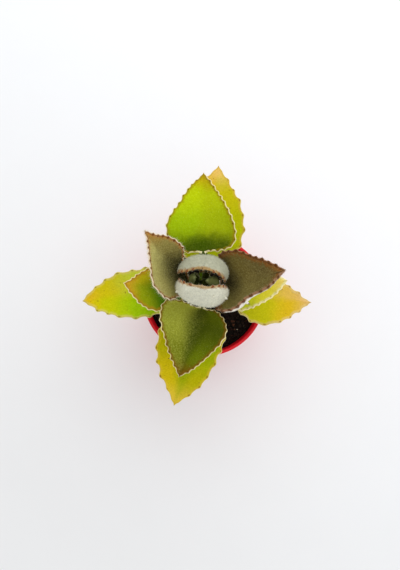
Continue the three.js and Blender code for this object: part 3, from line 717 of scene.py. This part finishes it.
def add_blade(surface, shape, rng, look, nubs_below):
    """The blade: an upper and a lower face about the sheet, joined by a rounded rim."""
    sheet = BladeSheet(shape, rng)
    values = sheet.values
    share = np.abs(values["across"])
    thickness = RIB_HALF_THICKNESS + (MARGIN_HALF_THICKNESS - RIB_HALF_THICKNESS) * share ** 2
    thickness = thickness * max(THINNEST_SHARE, shape.size) + NUB_SWELLING * values["nub"]
    crease = CREASE_DEPTH * np.exp(-(sheet.reach / CREASE_WIDTH) ** 2) * shape.size
    crease = crease * smoothstep(values["along"], 0, 0.05)
    vein = np.cos(2 * np.pi * VEINS * sheet.row) ** 8
    vein = vein * smoothstep(share, 0.02, 0.2) * smoothstep(1 - share, 0, 0.4)
    keel = KEEL_DEPTH * np.exp(-(sheet.reach / KEEL_WIDTH) ** 2) * shape.size
    keel = keel * (1 - smoothstep(values["along"], 0, shape.leaf.get("keel", KEEL_END)))
    border = sheet.border()
    outward = sheet.outward(border)
    lip_left, lip_right = look["lips"]
    lip = np.where(values["across"][border] > 0, lip_left, lip_right)
    lip = lip * (share[border] > 0.99) * smoothstep(sheet.row[border], 0, 0.06)
    lip = (lip * rng.uniform(0.9, 1.1, len(border)))[:, None]
    upper = sheet.points + sheet.normals * (thickness - crease - VEIN_GROOVE * vein)[:, None]
    lower = sheet.points - sheet.normals * (thickness + keel + VEIN_RIDGE * vein)[:, None]
    lower[border] += outward * lip
    first_upper = surface.add(upper, sheet.faces, under=0, **values)
    values_below = {**values, "nub": values["nub"] * nubs_below}
    first_lower = surface.add(lower, [face[::-1] for face in sheet.faces], under=1, **values_below)
    rings = [[first_upper + i for i in border]]
    half = thickness[border][:, None]
    for step in range(1, RIM_STEPS + 1):
        turn = step / (RIM_STEPS + 1)
        out = half * RIM_BULGE * math.sin(np.pi * turn) + lip * smoothstep(turn, 0, 0.6)
        place = sheet.points[border] + sheet.normals[border] * half * math.cos(np.pi * turn) + outward * out
        rim_values = {key: value[border] for key, value in values.items()}
        rim_values["nub"] = rim_values["nub"] * (max(1 - 1.6 * turn, 0) + nubs_below * turn)
        start = surface.add(place, [], under=turn, **rim_values)
        rings.append(range(start, start + len(border)))
    rings.append([first_lower + i for i in border])
    for above, below in zip(rings, rings[1:]):
        for i in range(len(border)):
            j = (i + 1) % len(border)
            surface.faces.append((above[i], below[i], below[j], above[j]))


def add_stalk(surface, shape, look):
    """The stalk, which runs on under the blade as its keel and ends in a point inside it."""
    thick = STALK_RADIUS * shape.leaf.get("stalk", 1)
    foot = -shape.stalk_length / shape.blade_length
    keel_end = shape.leaf.get("keel", KEEL_END)
    stops = [foot, 0.55 * foot, -0.12, 0.05, keel_end, keel_end + 0.05]
    along = np.linspace(foot, stops[-1], STALK_STEPS)
    profiles = (STALK_WIDTHS, STALK_HEIGHTS, STALK_DROPS)
    wide, tall, drop = (np.interp(along, stops, profile)[:, None] * thick for profile in profiles)
    channel = STALK_GROOVE * smoothstep(along, 0.6 * foot, 0)[:, None]
    cosine, sine = circle(STALK_SIDES).T[:, None]
    side = cosine * wide
    height = (sine - channel * np.maximum(sine, 0) ** 4) * tall - drop
    point, left, up = shape.rib_frame(along, follow_stalk=True)
    points = point[:, None] + left[:, None] * side[..., None] + up[:, None] * height[..., None]
    least, start = look["stalk_felt"]
    under = least + (1 - least) * smoothstep(-sine, start, start + STALK_FELT_BLEND)
    under = np.repeat(under, STALK_STEPS, axis=0).ravel()
    along = np.repeat(along, STALK_SIDES)
    surface.add(points, tube_faces(STALK_STEPS, STALK_SIDES), along=along, edge=FAR_FROM_EDGE, under=under)


def add_fangs(surface, shape, rng, brown):
    """The rows of fang-like bumps under the blade."""
    for row, shares in FANG_ROWS.items():
        for share in shares:
            for half in shape.halves:
                add_fang(surface, shape, half, row, share, rng, brown)


def add_fang(surface, shape, half, row, share, rng, brown):
    """A leaning cone with a rounded tip, its root sunk into the blade, smaller toward the leaf's tip."""
    size = shape.size * (1.1 - 0.5 * row)
    tall = FANG_HEIGHT * size * shape.leaf.get("fang_length", 1)
    step = 0.01
    near = np.array([row, row + step, row - step, row, row])
    out = np.array([share, share, share, share + step, share - step])
    places, along = shape.at(half, near, out)
    forward = unit(places[1] - places[2])
    downward = -unit(np.cross(places[1] - places[2], places[3] - places[4])) * half.sign
    sideways = np.cross(downward, forward)
    height = np.linspace(0, 1, FANG_RINGS) ** 0.8
    radius = FANG_RADIUS * size * (1 - height) ** 0.75 * (1 + 0.25 * (1 - height) ** 3)
    lean = FANG_LEAN * tall * height ** 2 * rng.uniform(0.3, 1)
    ring = circle(FANG_SIDES) @ np.stack([sideways, forward])
    centre = places[0] + np.outer(height * tall - FANG_ROOT * size, downward) + np.outer(lean, forward)
    points = centre[:, None] + ring[None] * radius[:, None, None]
    tip = brown * np.repeat(smoothstep(height, 0.45, 0.95), FANG_SIDES)
    surface.add(points, tube_faces(FANG_RINGS, FANG_SIDES), along=along[0], across=half.sign * share,
                edge=FAR_FROM_EDGE, under=1, nub=tip)


def hair_roots(rng, surface, density):
    """Random points on a surface with their normals and values. `density` is hairs per mm2 at its points."""
    points = np.concatenate(surface.points)
    triangles = []
    for face in surface.faces:
        triangles.append(face[:3])
        if len(face) == 4:
            triangles.append((face[0], face[2], face[3]))
    triangles = np.array(triangles)
    corners = points[triangles]
    cross = np.cross(corners[:, 1] - corners[:, 0], corners[:, 2] - corners[:, 0])
    wanted = np.linalg.norm(cross, axis=1) / 2 * density[triangles].mean(axis=1)
    count = rng.poisson(wanted.sum())
    pick = rng.choice(len(triangles), count, p=wanted / wanted.sum())
    weights = rng.dirichlet((1, 1, 1), count)
    roots = np.einsum("ij,ijk->ik", weights, corners[pick])
    values = {name: np.einsum("ij,ij->i", weights, surface.value(name)[triangles[pick]])
              for name in surface.VALUES}
    return roots, unit(cross[pick]), values


def add_hairs(felt, rng, surface, density, length, width, spread, edge_share=1.0):
    """Hairs as narrow three-sided blades, bent once, standing out of random roots on a surface.

    Right at a leaf's edge they have only `edge_share` of their length.
    """
    roots, normals, values = hair_roots(rng, surface, density)
    count = len(roots)
    direction = unit(normals + rng.normal(0, spread, (count, 3)))
    bent = unit(direction + rng.normal(0, 0.5 * spread, (count, 3)))
    side = unit(np.cross(direction, rng.normal(0, 1, (count, 3)))) * width / 2
    grown = np.clip(values["edge"] / SHORT_HAIR_BAND, edge_share, 1)
    length = (length * grown * rng.uniform(*HAIR_LENGTHS, count))[:, None]
    base = roots - direction * HAIR_ROOT
    middle = base + direction * length * HAIR_BEND
    tip = middle + bent * length * (1 - HAIR_BEND)
    points = np.stack([base - side, base + side, middle + side * 0.7, middle - side * 0.7, tip], axis=1)
    faces = []
    for i in range(0, 5 * count, 5):
        faces.append((i, i + 1, i + 2, i + 3))
        faces.append((i + 3, i + 2, i + 4))
    values = {key: np.repeat(value, 5) for key, value in values.items()}
    values["hair"] = np.tile([0.2, 0.2, 0.7, 0.7, 1.0], count)
    felt.add(points, faces, **values)


class Shader:
    """A material's nodes, added one value at a time: a number, a #rrggbb colour or a node's output."""

    def __init__(self, name):
        self.material = bpy.data.materials.new(name)
        self.material.use_nodes = True
        self.tree = self.material.node_tree
        self.place = self.add("ShaderNodeTexCoord", {}, "Object")

    def feed(self, node, inputs):
        for key, value in inputs.items():
            if isinstance(value, bpy.types.NodeSocket):
                self.tree.links.new(value, node.inputs[key])
            else:
                node.inputs[key].default_value = srgb(value) if isinstance(value, str) else value

    def add(self, kind, inputs, output, **settings):
        """The output of a new node with the given inputs and settings."""
        node = self.tree.nodes.new(kind)
        for key, value in settings.items():
            setattr(node, key, value)
        self.feed(node, inputs)
        return node.outputs[output]

    def value(self, name):
        return self.add("ShaderNodeAttribute", {}, "Fac", attribute_name=name)

    def noise(self, size_mm, detail=3, roughness=0.55, stretch=(1, 1, 1)):
        place = self.place
        if stretch != (1, 1, 1):
            place = self.add("ShaderNodeMapping", {"Vector": place, "Scale": stretch}, "Vector")
        inputs = {"Vector": place, "Scale": 1 / (size_mm * MM), "Detail": detail, "Roughness": roughness}
        return self.add("ShaderNodeTexNoise", inputs, "Fac")

    def math(self, operation, first, second=0.0):
        return self.add("ShaderNodeMath", {0: first, 1: second}, 0, operation=operation)

    def step(self, value, low, high, start=0.0, end=1.0):
        """`value` carried smoothly from `start` at `low` to `end` at `high`."""
        inputs = {"Value": value, "From Min": low, "From Max": high, "To Min": start, "To Max": end}
        return self.add("ShaderNodeMapRange", inputs, "Result", interpolation_type="SMOOTHSTEP")

    def mix(self, factor, first, second, blend="MIX"):
        inputs = {0: factor, 6: first, 7: second}
        return self.add("ShaderNodeMix", inputs, 2, data_type="RGBA", blend_type=blend)

    def tint(self, colour, other, *steps):
        """`colour` turned into the `other` one as far as a value carried by `steps` is near 1."""
        return self.mix(self.step(*steps), colour, other)

    def ramp(self, value, stops, colours):
        output = self.add("ShaderNodeValToRGB", {"Fac": value}, "Color")
        band = output.node.color_ramp
        band.interpolation = "EASE"
        while len(band.elements) < len(stops):
            band.elements.new(1.0)
        for element, stop, colour in zip(band.elements, stops, colours.split()):
            element.position = stop
            element.color = srgb(colour)
        return output

    def shaded(self, colour, brightness):
        """`colour` made lighter or darker by a brightness around 1."""
        grey = self.add("ShaderNodeCombineColor", {0: brightness, 1: brightness, 2: brightness}, 0)
        return self.mix(1.0, colour, grey, blend="MULTIPLY")

    def bump(self, height, strength, distance_mm, below=None):
        """The normal for a relief, laid over the one `below` when that is given."""
        inputs = {"Strength": strength, "Distance": distance_mm * MM, "Height": height}
        if below is not None:
            inputs["Normal"] = below
        return self.add("ShaderNodeBump", inputs, "Normal")

    def finish(self, colour, roughness, gloss, normal=None, sheen=0.0):
        inputs = {
            "Base Color": colour, "Roughness": roughness, "Specular IOR Level": gloss,
            "Sheen Weight": sheen, "Sheen Roughness": SHEEN_ROUGHNESS,
        }
        if normal is not None:
            inputs["Normal"] = normal
        self.feed(self.tree.nodes["Principled BSDF"], inputs)
        return self.material


def leaf_colour(shader, look):
    """The upper face's colour: a gradient on each half, met in the middle by painted shade in the fold."""
    along = shader.value("along")
    across = shader.value("across")
    sway = shader.math("SUBTRACT", shader.noise(PATCH_SIZE, detail=2), 0.5)
    wandering = shader.math("ADD", along, shader.math("MULTIPLY", sway, SWAY_ALONG))
    side = shader.math("ADD", across, shader.math("MULTIPLY", sway, SWAY_ACROSS))
    left = shader.ramp(wandering, COLOUR_STOPS, look["left"])
    right = shader.ramp(wandering, COLOUR_STOPS, look.get("right", look["left"]))
    colour = shader.mix(shader.step(side, -HALF_BLEND, HALF_BLEND), right, left)
    # Painted shade in the fold: darkest at the rib and near the base, fading out along the blade.
    fold_shade_colour, width, length = look["valley"]
    fold_shade = shader.step(shader.math("ABSOLUTE", across), 0.0, width, 1, 0)
    fold_shade = shader.math("MULTIPLY", fold_shade, shader.step(wandering, FOLD_SHADE_FADE * length, length, 1, 0))
    return shader.mix(shader.math("MULTIPLY", fold_shade, FOLD_SHADE_STRENGTH), colour, fold_shade_colour)


def banded(shader, colour, band, mottle):
    """`colour` with a worn band of another colour laid inside the edge."""
    band_colour, width, strength = band
    ragged = shader.math("MULTIPLY", shader.math("SUBTRACT", mottle, 0.5), BAND_RAGGEDNESS * width)
    place = shader.math("ADD", shader.value("edge"), ragged)
    return shader.tint(colour, band_colour, place, 0.1 * width, width, strength, 0)


def felted_below(shader, upper, look, mottle):
    """`upper` on the leaf's upper face, turning into the pale felt of its lower face over its rim."""
    lower = banded(shader, look["under"], look["blush"], mottle)
    return shader.tint(upper, lower, shader.value("under"), *RIM_BLEND)


def leaf_material(name, look):
    """Felted leaf skin: graded green, a worn margin with brown tooth tips, and pale felt below."""
    shader = Shader(name)
    mottle = shader.noise(MOTTLE_SIZE, roughness=0.6)
    felt = shader.noise(FELT_GRAIN, roughness=0.8)
    spots = shader.noise(SPOT_SIZE, detail=1)
    colour = shader.tint(leaf_colour(shader, look), SPOT_COLOUR, spots, 0.72, 0.77, 0, look.get("spots", 0))
    speck_colour, left_specks, right_specks = look["specks"]
    amount = shader.step(shader.value("across"), -HALF_BLEND, HALF_BLEND, right_specks, left_specks)
    tufts = shader.math("MULTIPLY", shader.step(felt, 0.4, 0.75), amount)
    colour = shader.mix(tufts, colour, speck_colour)
    colour = banded(shader, colour, look["margin"], mottle)
    colour = banded(shader, colour, look["line"], mottle)
    colour = felted_below(shader, colour, look, mottle)
    cloud = shader.step(mottle, 0.25, 0.75, 1 - look["mottle"], 1 + look["mottle"])
    grain = shader.step(felt, 0.3, 0.7, 0.93, 1.06)
    colour = shader.shaded(colour, shader.math("MULTIPLY", cloud, grain))
    start = look["nub_start"]
    colour = shader.tint(colour, look["nub"], shader.value("nub"), start, start + 0.4, 0, 0.9)
    normal = shader.bump(mottle, 0.2, 0.5, below=shader.bump(felt, 0.3, 0.2))
    return shader.finish(colour, 0.9, LEAF_GLOSS, normal, look["sheen"])


def hair_material(name, look):
    """The felt's hairs: the colour of the skin they stand on, painted fold shade and all, fading to pale
    tips.
    """
    shader = Shader(name)
    mottle = shader.noise(MOTTLE_SIZE, roughness=0.6)
    root = felted_below(shader, leaf_colour(shader, look), look, mottle)
    colour = shader.tint(root, look["tips"], shader.value("hair"), 0.1, 1.0, 0.25, 0.9)
    return shader.finish(colour, 0.85, LEAF_GLOSS, sheen=look["sheen"])


def make_leaf(name):
    shape = LeafShape(LEAVES[name])
    look = LOOKS[name]
    rng = np.random.default_rng([SEED, list(LEAVES).index(name)])
    surface = Surface()
    add_blade(surface, shape, rng, look, float(name in NUBS_BELOW))
    add_stalk(surface, shape, look)
    if shape.leaf.get("fangs", True):
        add_fangs(surface, shape, rng, float("arched" not in shape.leaf))
    blade = surface.build(name + "_skin", leaf_material(name + "_skin", look))
    above, below = look["hairs"]
    density = above + (below - above) * np.clip(surface.value("under"), 0, 1)
    wisps, wisp_length = look["wisps"]
    edge_density = wisps * np.exp(-(surface.value("edge") / WISP_BAND) ** 2)
    felt = Surface()
    add_hairs(felt, rng, surface, density, look["hair"], HAIR_WIDTH, 0.45, SHORT_HAIR_SHARE)
    add_hairs(felt, rng, surface, edge_density, wisp_length, WISP_WIDTH, 0.7)
    hairs = felt.build(name + "_felt", hair_material(name + "_felt", look))
    hairs.parent = blade
    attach(blade, "root")
    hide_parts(name)


def lathe(surface, profile, sides, centre=(0, 0)):
    """A surface turned about an upright axis, from (radius, height) points that start and end on it."""
    points = [(*centre, profile[0][1])]
    for radius, z in profile[1:-1]:
        points.extend((*(centre + radius * corner), z) for corner in circle(sides))
    points.append((*centre, profile[-1][1]))
    surface.add(points, lathe_faces(len(profile) - 2, sides))


def rounded(corner_from, corner, corner_to, radius, steps=4):
    """Points of a rounded corner of a profile."""
    a, b, c = (np.array(p, float) for p in (corner_from, corner, corner_to))
    start = b + unit(a - b) * radius
    end = b + unit(c - b) * radius
    shares = np.linspace(0, 1, steps + 1)[:, None]
    return [*((1 - shares) ** 2 * start + 2 * shares * (1 - shares) * b + shares ** 2 * end)]


def wall_radius(z):
    """The radius inside the pot's tapering wall at height `z`."""
    share = (z - FLOOR_THICKNESS) / (POT_HEIGHT - EDGE_ROUNDING - FLOOR_THICKNESS)
    return POT_INNER_FOOT_RADIUS + share * (POT_INNER_RADIUS - POT_INNER_FOOT_RADIUS)


def pot_profile():
    wall_top = POT_HEIGHT - LIP_HEIGHT - LIP_UNDERSIDE_SLOPE
    corners = [
        (0, 0),
        (POT_FOOT_RADIUS, 0),
        (wall_radius(wall_top) + POT_WALL, wall_top),
        (POT_RIM_RADIUS - LIP_OVERHANG_TAPER, POT_HEIGHT - LIP_HEIGHT),
        (POT_RIM_RADIUS, POT_HEIGHT),
        (POT_INNER_RADIUS, POT_HEIGHT),
        (POT_INNER_FOOT_RADIUS, FLOOR_THICKNESS),
        (0, FLOOR_THICKNESS),
    ]
    profile = [corners[0]]
    for before, corner, after in zip(corners, corners[1:], corners[2:]):
        profile.extend(rounded(before, corner, after, EDGE_ROUNDING))
    return [*profile, corners[-1]]


def cut_drain_holes(pot):
    """Cuts the ring of drain holes through the pot's floor."""
    cutter = Surface()
    low, high = -FLOOR_THICKNESS, 2 * FLOOR_THICKNESS
    profile = [(0, low), (DRAIN_HOLE_RADIUS, low), (DRAIN_HOLE_RADIUS, high), (0, high)]
    for centre in DRAIN_RING_RADIUS * circle(DRAIN_HOLES):
        lathe(cutter, profile, DRAIN_HOLE_SIDES, centre)
    holes = cutter.build("drain_hole_cutter", pot.data.materials[0])
    cut = pot.modifiers.new("drain_holes", "BOOLEAN")
    cut.operation = "DIFFERENCE"
    cut.solver = "EXACT"
    cut.object = holes
    graph = bpy.context.evaluated_depsgraph_get()
    pot.data = bpy.data.meshes.new_from_object(pot.evaluated_get(graph))
    pot.modifiers.clear()
    bpy.data.objects.remove(holes)


def pot_material():
    """Red moulded plastic with a faint grain, cloudy patches and paler upright scuffs."""
    shader = Shader("pot_plastic")
    cloud = shader.noise(18)
    grain = shader.noise(0.6, detail=2)
    scratch = shader.noise(2.5, detail=4, roughness=0.7, stretch=(1, 1, 0.15))
    colour = shader.tint("#d80c1e", "#e21024", cloud, 0.35, 0.65)
    colour = shader.tint(colour, "#d42830", scratch, 0.62, 0.8, 0, 0.2)
    roughness = shader.step(grain, 0.3, 0.7, 0.38, 0.5)
    return shader.finish(colour, roughness, 0.3, shader.bump(grain, 0.12, 0.1))


def make_pot():
    surface = Surface()
    lathe(surface, pot_profile(), POT_SIDES)
    pot = surface.build("pot_shell", pot_material())
    cut_drain_holes(pot)
    pot.data.shade_smooth()
    pot.data.set_sharp_from_angle(angle=math.radians(SHARP_EDGE_ANGLE))
    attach(pot, "root")
    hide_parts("pot")


def soil_height(x, y, wall):
    """The height of the potting mix's surface: clods and crumbs, and a low edge along the pot's wall."""
    relief = np.zeros_like(x)
    for i, (frequency, weight) in enumerate(SOIL_WAVES):
        turn = 1.1 * i + 0.4
        u = frequency * (x * math.cos(turn) - y * math.sin(turn))
        v = frequency * (x * math.sin(turn) + y * math.cos(turn))
        wave = np.sin(2 * u + 1.7 * i + 1.3 * np.sin(v)) * np.cos(2 * v + 0.8 * i + np.sin(1.3 * u))
        relief = relief + weight * wave
    drop = SOIL_EDGE_DROP * smoothstep(np.hypot(x, y), wall - SOIL_EDGE_BAND, wall)
    return SOIL_LEVEL + SOIL_RELIEF * relief - drop


def make_soil():
    rng = np.random.default_rng([SEED, 50])
    wall = wall_radius(SOIL_LEVEL - 2) - SOIL_GAP
    corners = circle(SOIL_SIDES)
    points = [[(0, 0, SOIL_LEVEL)]]
    for ring in range(1, SOIL_RINGS + 1):
        x, y = (wall * ring / SOIL_RINGS * corners).T
        crumbs = rng.normal(0, SOIL_ROUGHNESS, SOIL_SIDES)
        points.append(np.stack([x, y, soil_height(x, y, wall) + crumbs], 1))
    foot = FLOOR_THICKNESS + SOIL_GAP
    points.append([(x, y, foot) for x, y in (POT_INNER_FOOT_RADIUS - SOIL_GAP) * corners])
    points.append([(0, 0, foot)])
    faces = [face[:1] + face[:0:-1] for face in lathe_faces(SOIL_RINGS + 1, SOIL_SIDES)]
    surface = Surface()
    surface.add(np.concatenate(points), faces)
    soil = surface.build("potting_mix", soil_material())
    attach(soil, "root")
    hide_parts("soil")
    make_grains(rng, soil, wall)


def soil_material():
    """Nearly black peat with brown crumbs, the peat's dark brown painted darker still as shade under the
    leaves.
    """
    shader = Shader("potting_mix")
    clods = shader.noise(3.0, detail=4, roughness=0.65)
    crumbs = shader.noise(0.8, detail=4, roughness=0.7)
    # The near-black of the mix is partly painted shade: the dark peat is made darker for the shade it lies
    # in.
    colour = shader.tint("#0a0503", "#170d08", clods, 0.35, 0.65)
    colour = shader.tint(colour, "#2c1c12", crumbs, 0.6, 0.75)
    normal = shader.bump(clods, 0.6, 1.5, below=shader.bump(crumbs, 0.9, 0.8))
    return shader.finish(colour, 0.95, 0.2, normal)


def grain_material(name, dark, light):
    """A rough grain, streaked with two colours."""
    shader = Shader(name)
    streaks = shader.noise(1.0, detail=4, roughness=0.7)
    colour = shader.tint(dark, light, streaks, 0.3, 0.7)
    return shader.finish(colour, 0.9, 0.25, shader.bump(streaks, 0.7, 0.4))


def lumpy_ball(rng, radius, squash, turn):
    """A rough pebble's points and faces, from an octahedron split twice."""
    points = [Vector(p) for p in ((1, 0, 0), (-1, 0, 0), (0, 1, 0), (0, -1, 0), (0, 0, 1), (0, 0, -1))]
    faces = [(0, 2, 4), (2, 1, 4), (1, 3, 4), (3, 0, 4), (2, 0, 5), (1, 2, 5), (3, 1, 5), (0, 3, 5)]
    for _ in range(2):
        middles = {}
        finer = []
        for a, b, c in faces:
            for ends in ((a, b), (b, c), (c, a)):
                key = frozenset(ends)
                if key not in middles:
                    middles[key] = len(points)
                    points.append((points[ends[0]] + points[ends[1]]).normalized())
            ab, bc, ca = (middles[frozenset(ends)] for ends in ((a, b), (b, c), (c, a)))
            finer.extend([(a, ab, ca), (b, bc, ab), (c, ca, bc), (ab, bc, ca)])
        faces = finer
    shaped = np.array([tuple(point) for point in points])
    lumps = 1 + 0.22 * np.sin(shaped @ rng.normal(0, 2.2, 3) + rng.uniform(0, 6))
    lumps = lumps + rng.normal(0, 0.06, len(shaped))
    return shaped * lumps[:, None] * radius * np.array(squash) @ np.array(turn).T, faces


def make_grains(rng, soil, wall):
    """Crumbs of peat, chips of bark and a few pale grains lying in the mix."""
    for name, (share, (smallest, largest), (dark, light)) in GRAIN_KINDS.items():
        surface = Surface()
        for _ in range(int(SOIL_GRAINS * share)):
            reach = (wall - 1.5) * math.sqrt(rng.uniform(0.02, 1))
            around = rng.uniform(0, 2 * math.pi)
            x, y = reach * math.cos(around), reach * math.sin(around)
            radius = rng.uniform(smallest, largest)
            turn = Matrix.Rotation(rng.uniform(0, 6.28), 3, rng.normal(0, 1, 3))
            points, faces = lumpy_ball(rng, radius, (1, rng.uniform(0.5, 0.9), rng.uniform(0.35, 0.7)), turn)
            surface.add(points + (x, y, soil_height(x, y, wall) + 0.15 * radius), faces)
        grains = surface.build(name, grain_material(name, dark, light))
        grains.parent = soil


def stem_radius(z):
    """The stem's radius with a swelling at each leaf pair."""
    radius = np.interp(z, [SOIL_LEVEL, STEM_TOP], [STEM_BASE_RADIUS, STEM_TOP_RADIUS])
    for node in {leaf["node"] for leaf in LEAVES.values()}:
        radius = radius + NODE_SWELLING * np.exp(-((z - node) / NODE_LENGTH) ** 2)
    return radius


def stem_material():
    """Felted young bark: pale olive, browner low down, with leaf scars' rings and fine furrows, and dark
    green at its top as painted shade deep in the bud over its young green.
    """
    shader = Shader("stem_bark")
    height = shader.value("along")
    furrows = shader.noise(0.9, detail=4, roughness=0.6, stretch=(1, 1, 0.25))
    felt = shader.noise(0.4, roughness=0.7)
    colour = shader.tint("#6e5a3c", "#9c9a6c", height, 0.0, 0.5)
    colour = shader.tint(colour, "#b4b48c", height, 0.5, 0.8)
    # The stem's top, deep in the bud, is painted dark green: painted shade over its young green.
    colour = shader.tint(colour, "#4a5418", height, 0.92, 0.98)
    colour = shader.tint(colour, "#5a4a30", furrows, 0.45, 0.7, 0, 0.5)
    colour = shader.tint(colour, "#7a6440", shader.value("nub"), 0.3, 0.9, 0, 0.6)
    normal = shader.bump(felt, 0.3, 0.2, below=shader.bump(furrows, 0.5, 0.4))
    return shader.finish(colour, 0.9, 0.1, normal, sheen=0.05)


def make_stem():
    """The stem: `along` runs from the soil to its top, and `nub` marks the scars below the leaf pairs."""
    rng = np.random.default_rng([SEED, 60])
    heights = np.linspace(STEM_BOTTOM, STEM_TOP, STEM_RINGS)
    nodes = np.array([leaf["node"] for leaf in LEAVES.values()])
    scar = np.exp(-(np.abs(heights[:, None] - nodes[None] + SCAR_DROP).min(axis=1) / SCAR_LENGTH) ** 2)
    profile = [(0, STEM_BOTTOM), *zip(stem_radius(heights), heights), (0, STEM_TOP + STEM_TIP_HEIGHT)]
    surface = Surface()
    lathe(surface, profile, STEM_SIDES)
    points = surface.points[0]
    lumps = 1 + 0.025 * np.sin(3 * np.arctan2(points[:, 1], points[:, 0]) + 0.12 * points[:, 2])
    points[:, :2] *= lumps[:, None]
    surface.values["along"] = [(points[:, 2] - SOIL_LEVEL) / (STEM_TOP - SOIL_LEVEL)]
    surface.values["nub"] = [np.concatenate([[0], np.repeat(scar, STEM_SIDES), [0]])]
    material = stem_material()
    stem = surface.build("stem_bark", material)
    felt = Surface()
    density = STEM_HAIRS * (surface.value("along") > 0.05)
    add_hairs(felt, rng, surface, density, STEM_HAIR_LENGTH, HAIR_WIDTH, 0.4)
    hairs = felt.build("stem_felt", material)
    hairs.parent = stem
    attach(stem, "root")
    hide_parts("stem")


def make_floor():
    """A wide sheet of white paper, painted a little greyer toward the viewer: painted shade where the
    window's light falls off.
    """
    painted_light_share = {FLOOR_REACH: 1, FLOOR_SHADE_FADE: 1, -FLOOR_SHADE_FADE: 0, -FLOOR_REACH: 0}
    turn = Matrix.Rotation(math.radians(FLOOR_TURN), 3, "Z")
    points = [turn @ Vector((x, y, 0)) for y in painted_light_share for x in (-FLOOR_REACH, FLOOR_REACH)]
    faces = [(i, i + 2, i + 3, i + 1) for i in (0, 2, 4)]
    surface = Surface()
    surface.add(points, faces, along=np.repeat(list(painted_light_share.values()), 2))
    shader = Shader("floor_paper")
    cloud = shader.noise(FLOOR_PATCH_SIZE, detail=2)
    # The near part's greyer colour is painted shade, the far part's whiter one painted light.
    near = shader.mix(cloud, "#e8e8e8", "#eaeaea")
    far = shader.mix(cloud, "#f4f5f7", "#f6f7f9")
    colour = shader.mix(shader.value("along"), near, far)
    surface.build("floor", shader.finish(colour, 0.9, 0.1))


def make_lights():
    world = bpy.data.worlds.new("room")
    world.use_nodes = True
    background = world.node_tree.nodes["Background"]
    background.inputs["Color"].default_value = ROOM_COLOUR
    background.inputs["Strength"].default_value = ROOM_LIGHT
    bpy.context.scene.world = world
    data = bpy.data.lights.new("window", "AREA")
    data.shape = "DISK"
    data.size = WINDOW_SIZE * MM
    data.energy = WINDOW_POWER
    window = new_object("window", data)
    window.location = Vector(WINDOW_PLACE) * MM
    aim = Vector(WINDOW_TARGET) - Vector(WINDOW_PLACE)
    window.rotation_euler = aim.to_track_quat("-Z", "Y").to_euler()


def make_camera():
    """The photograph's camera, placed so that the pot's rim falls on its pixel."""
    data = bpy.data.cameras.new("photo_camera")
    data.sensor_width = SENSOR
    data.lens = FOCAL_PIXELS / FRAME_HEIGHT * SENSOR
    data.clip_start = NEAREST_VISIBLE * MM
    x, y = RIM_CENTRE_PIXEL
    aside = np.array([FRAME_WIDTH / 2 - x, y - FRAME_HEIGHT / 2]) * CAMERA_DISTANCE / FOCAL_PIXELS
    turn = Matrix.Rotation(math.radians(90 - CAMERA_ELEVATION), 3, "X")
    camera = new_object("photo_camera", data)
    camera.location = (Vector((0, 0, POT_HEIGHT)) + turn @ Vector((*aside, CAMERA_DISTANCE))) * MM
    camera.rotation_euler = turn.to_euler()
    bpy.context.scene.camera = camera


make_pot()
make_soil()
make_stem()
for leaf_name in LEAVES:
    make_leaf(leaf_name)
make_floor()
make_lights()
make_camera()
bpy.context.scene.view_settings.view_transform = "Standard"
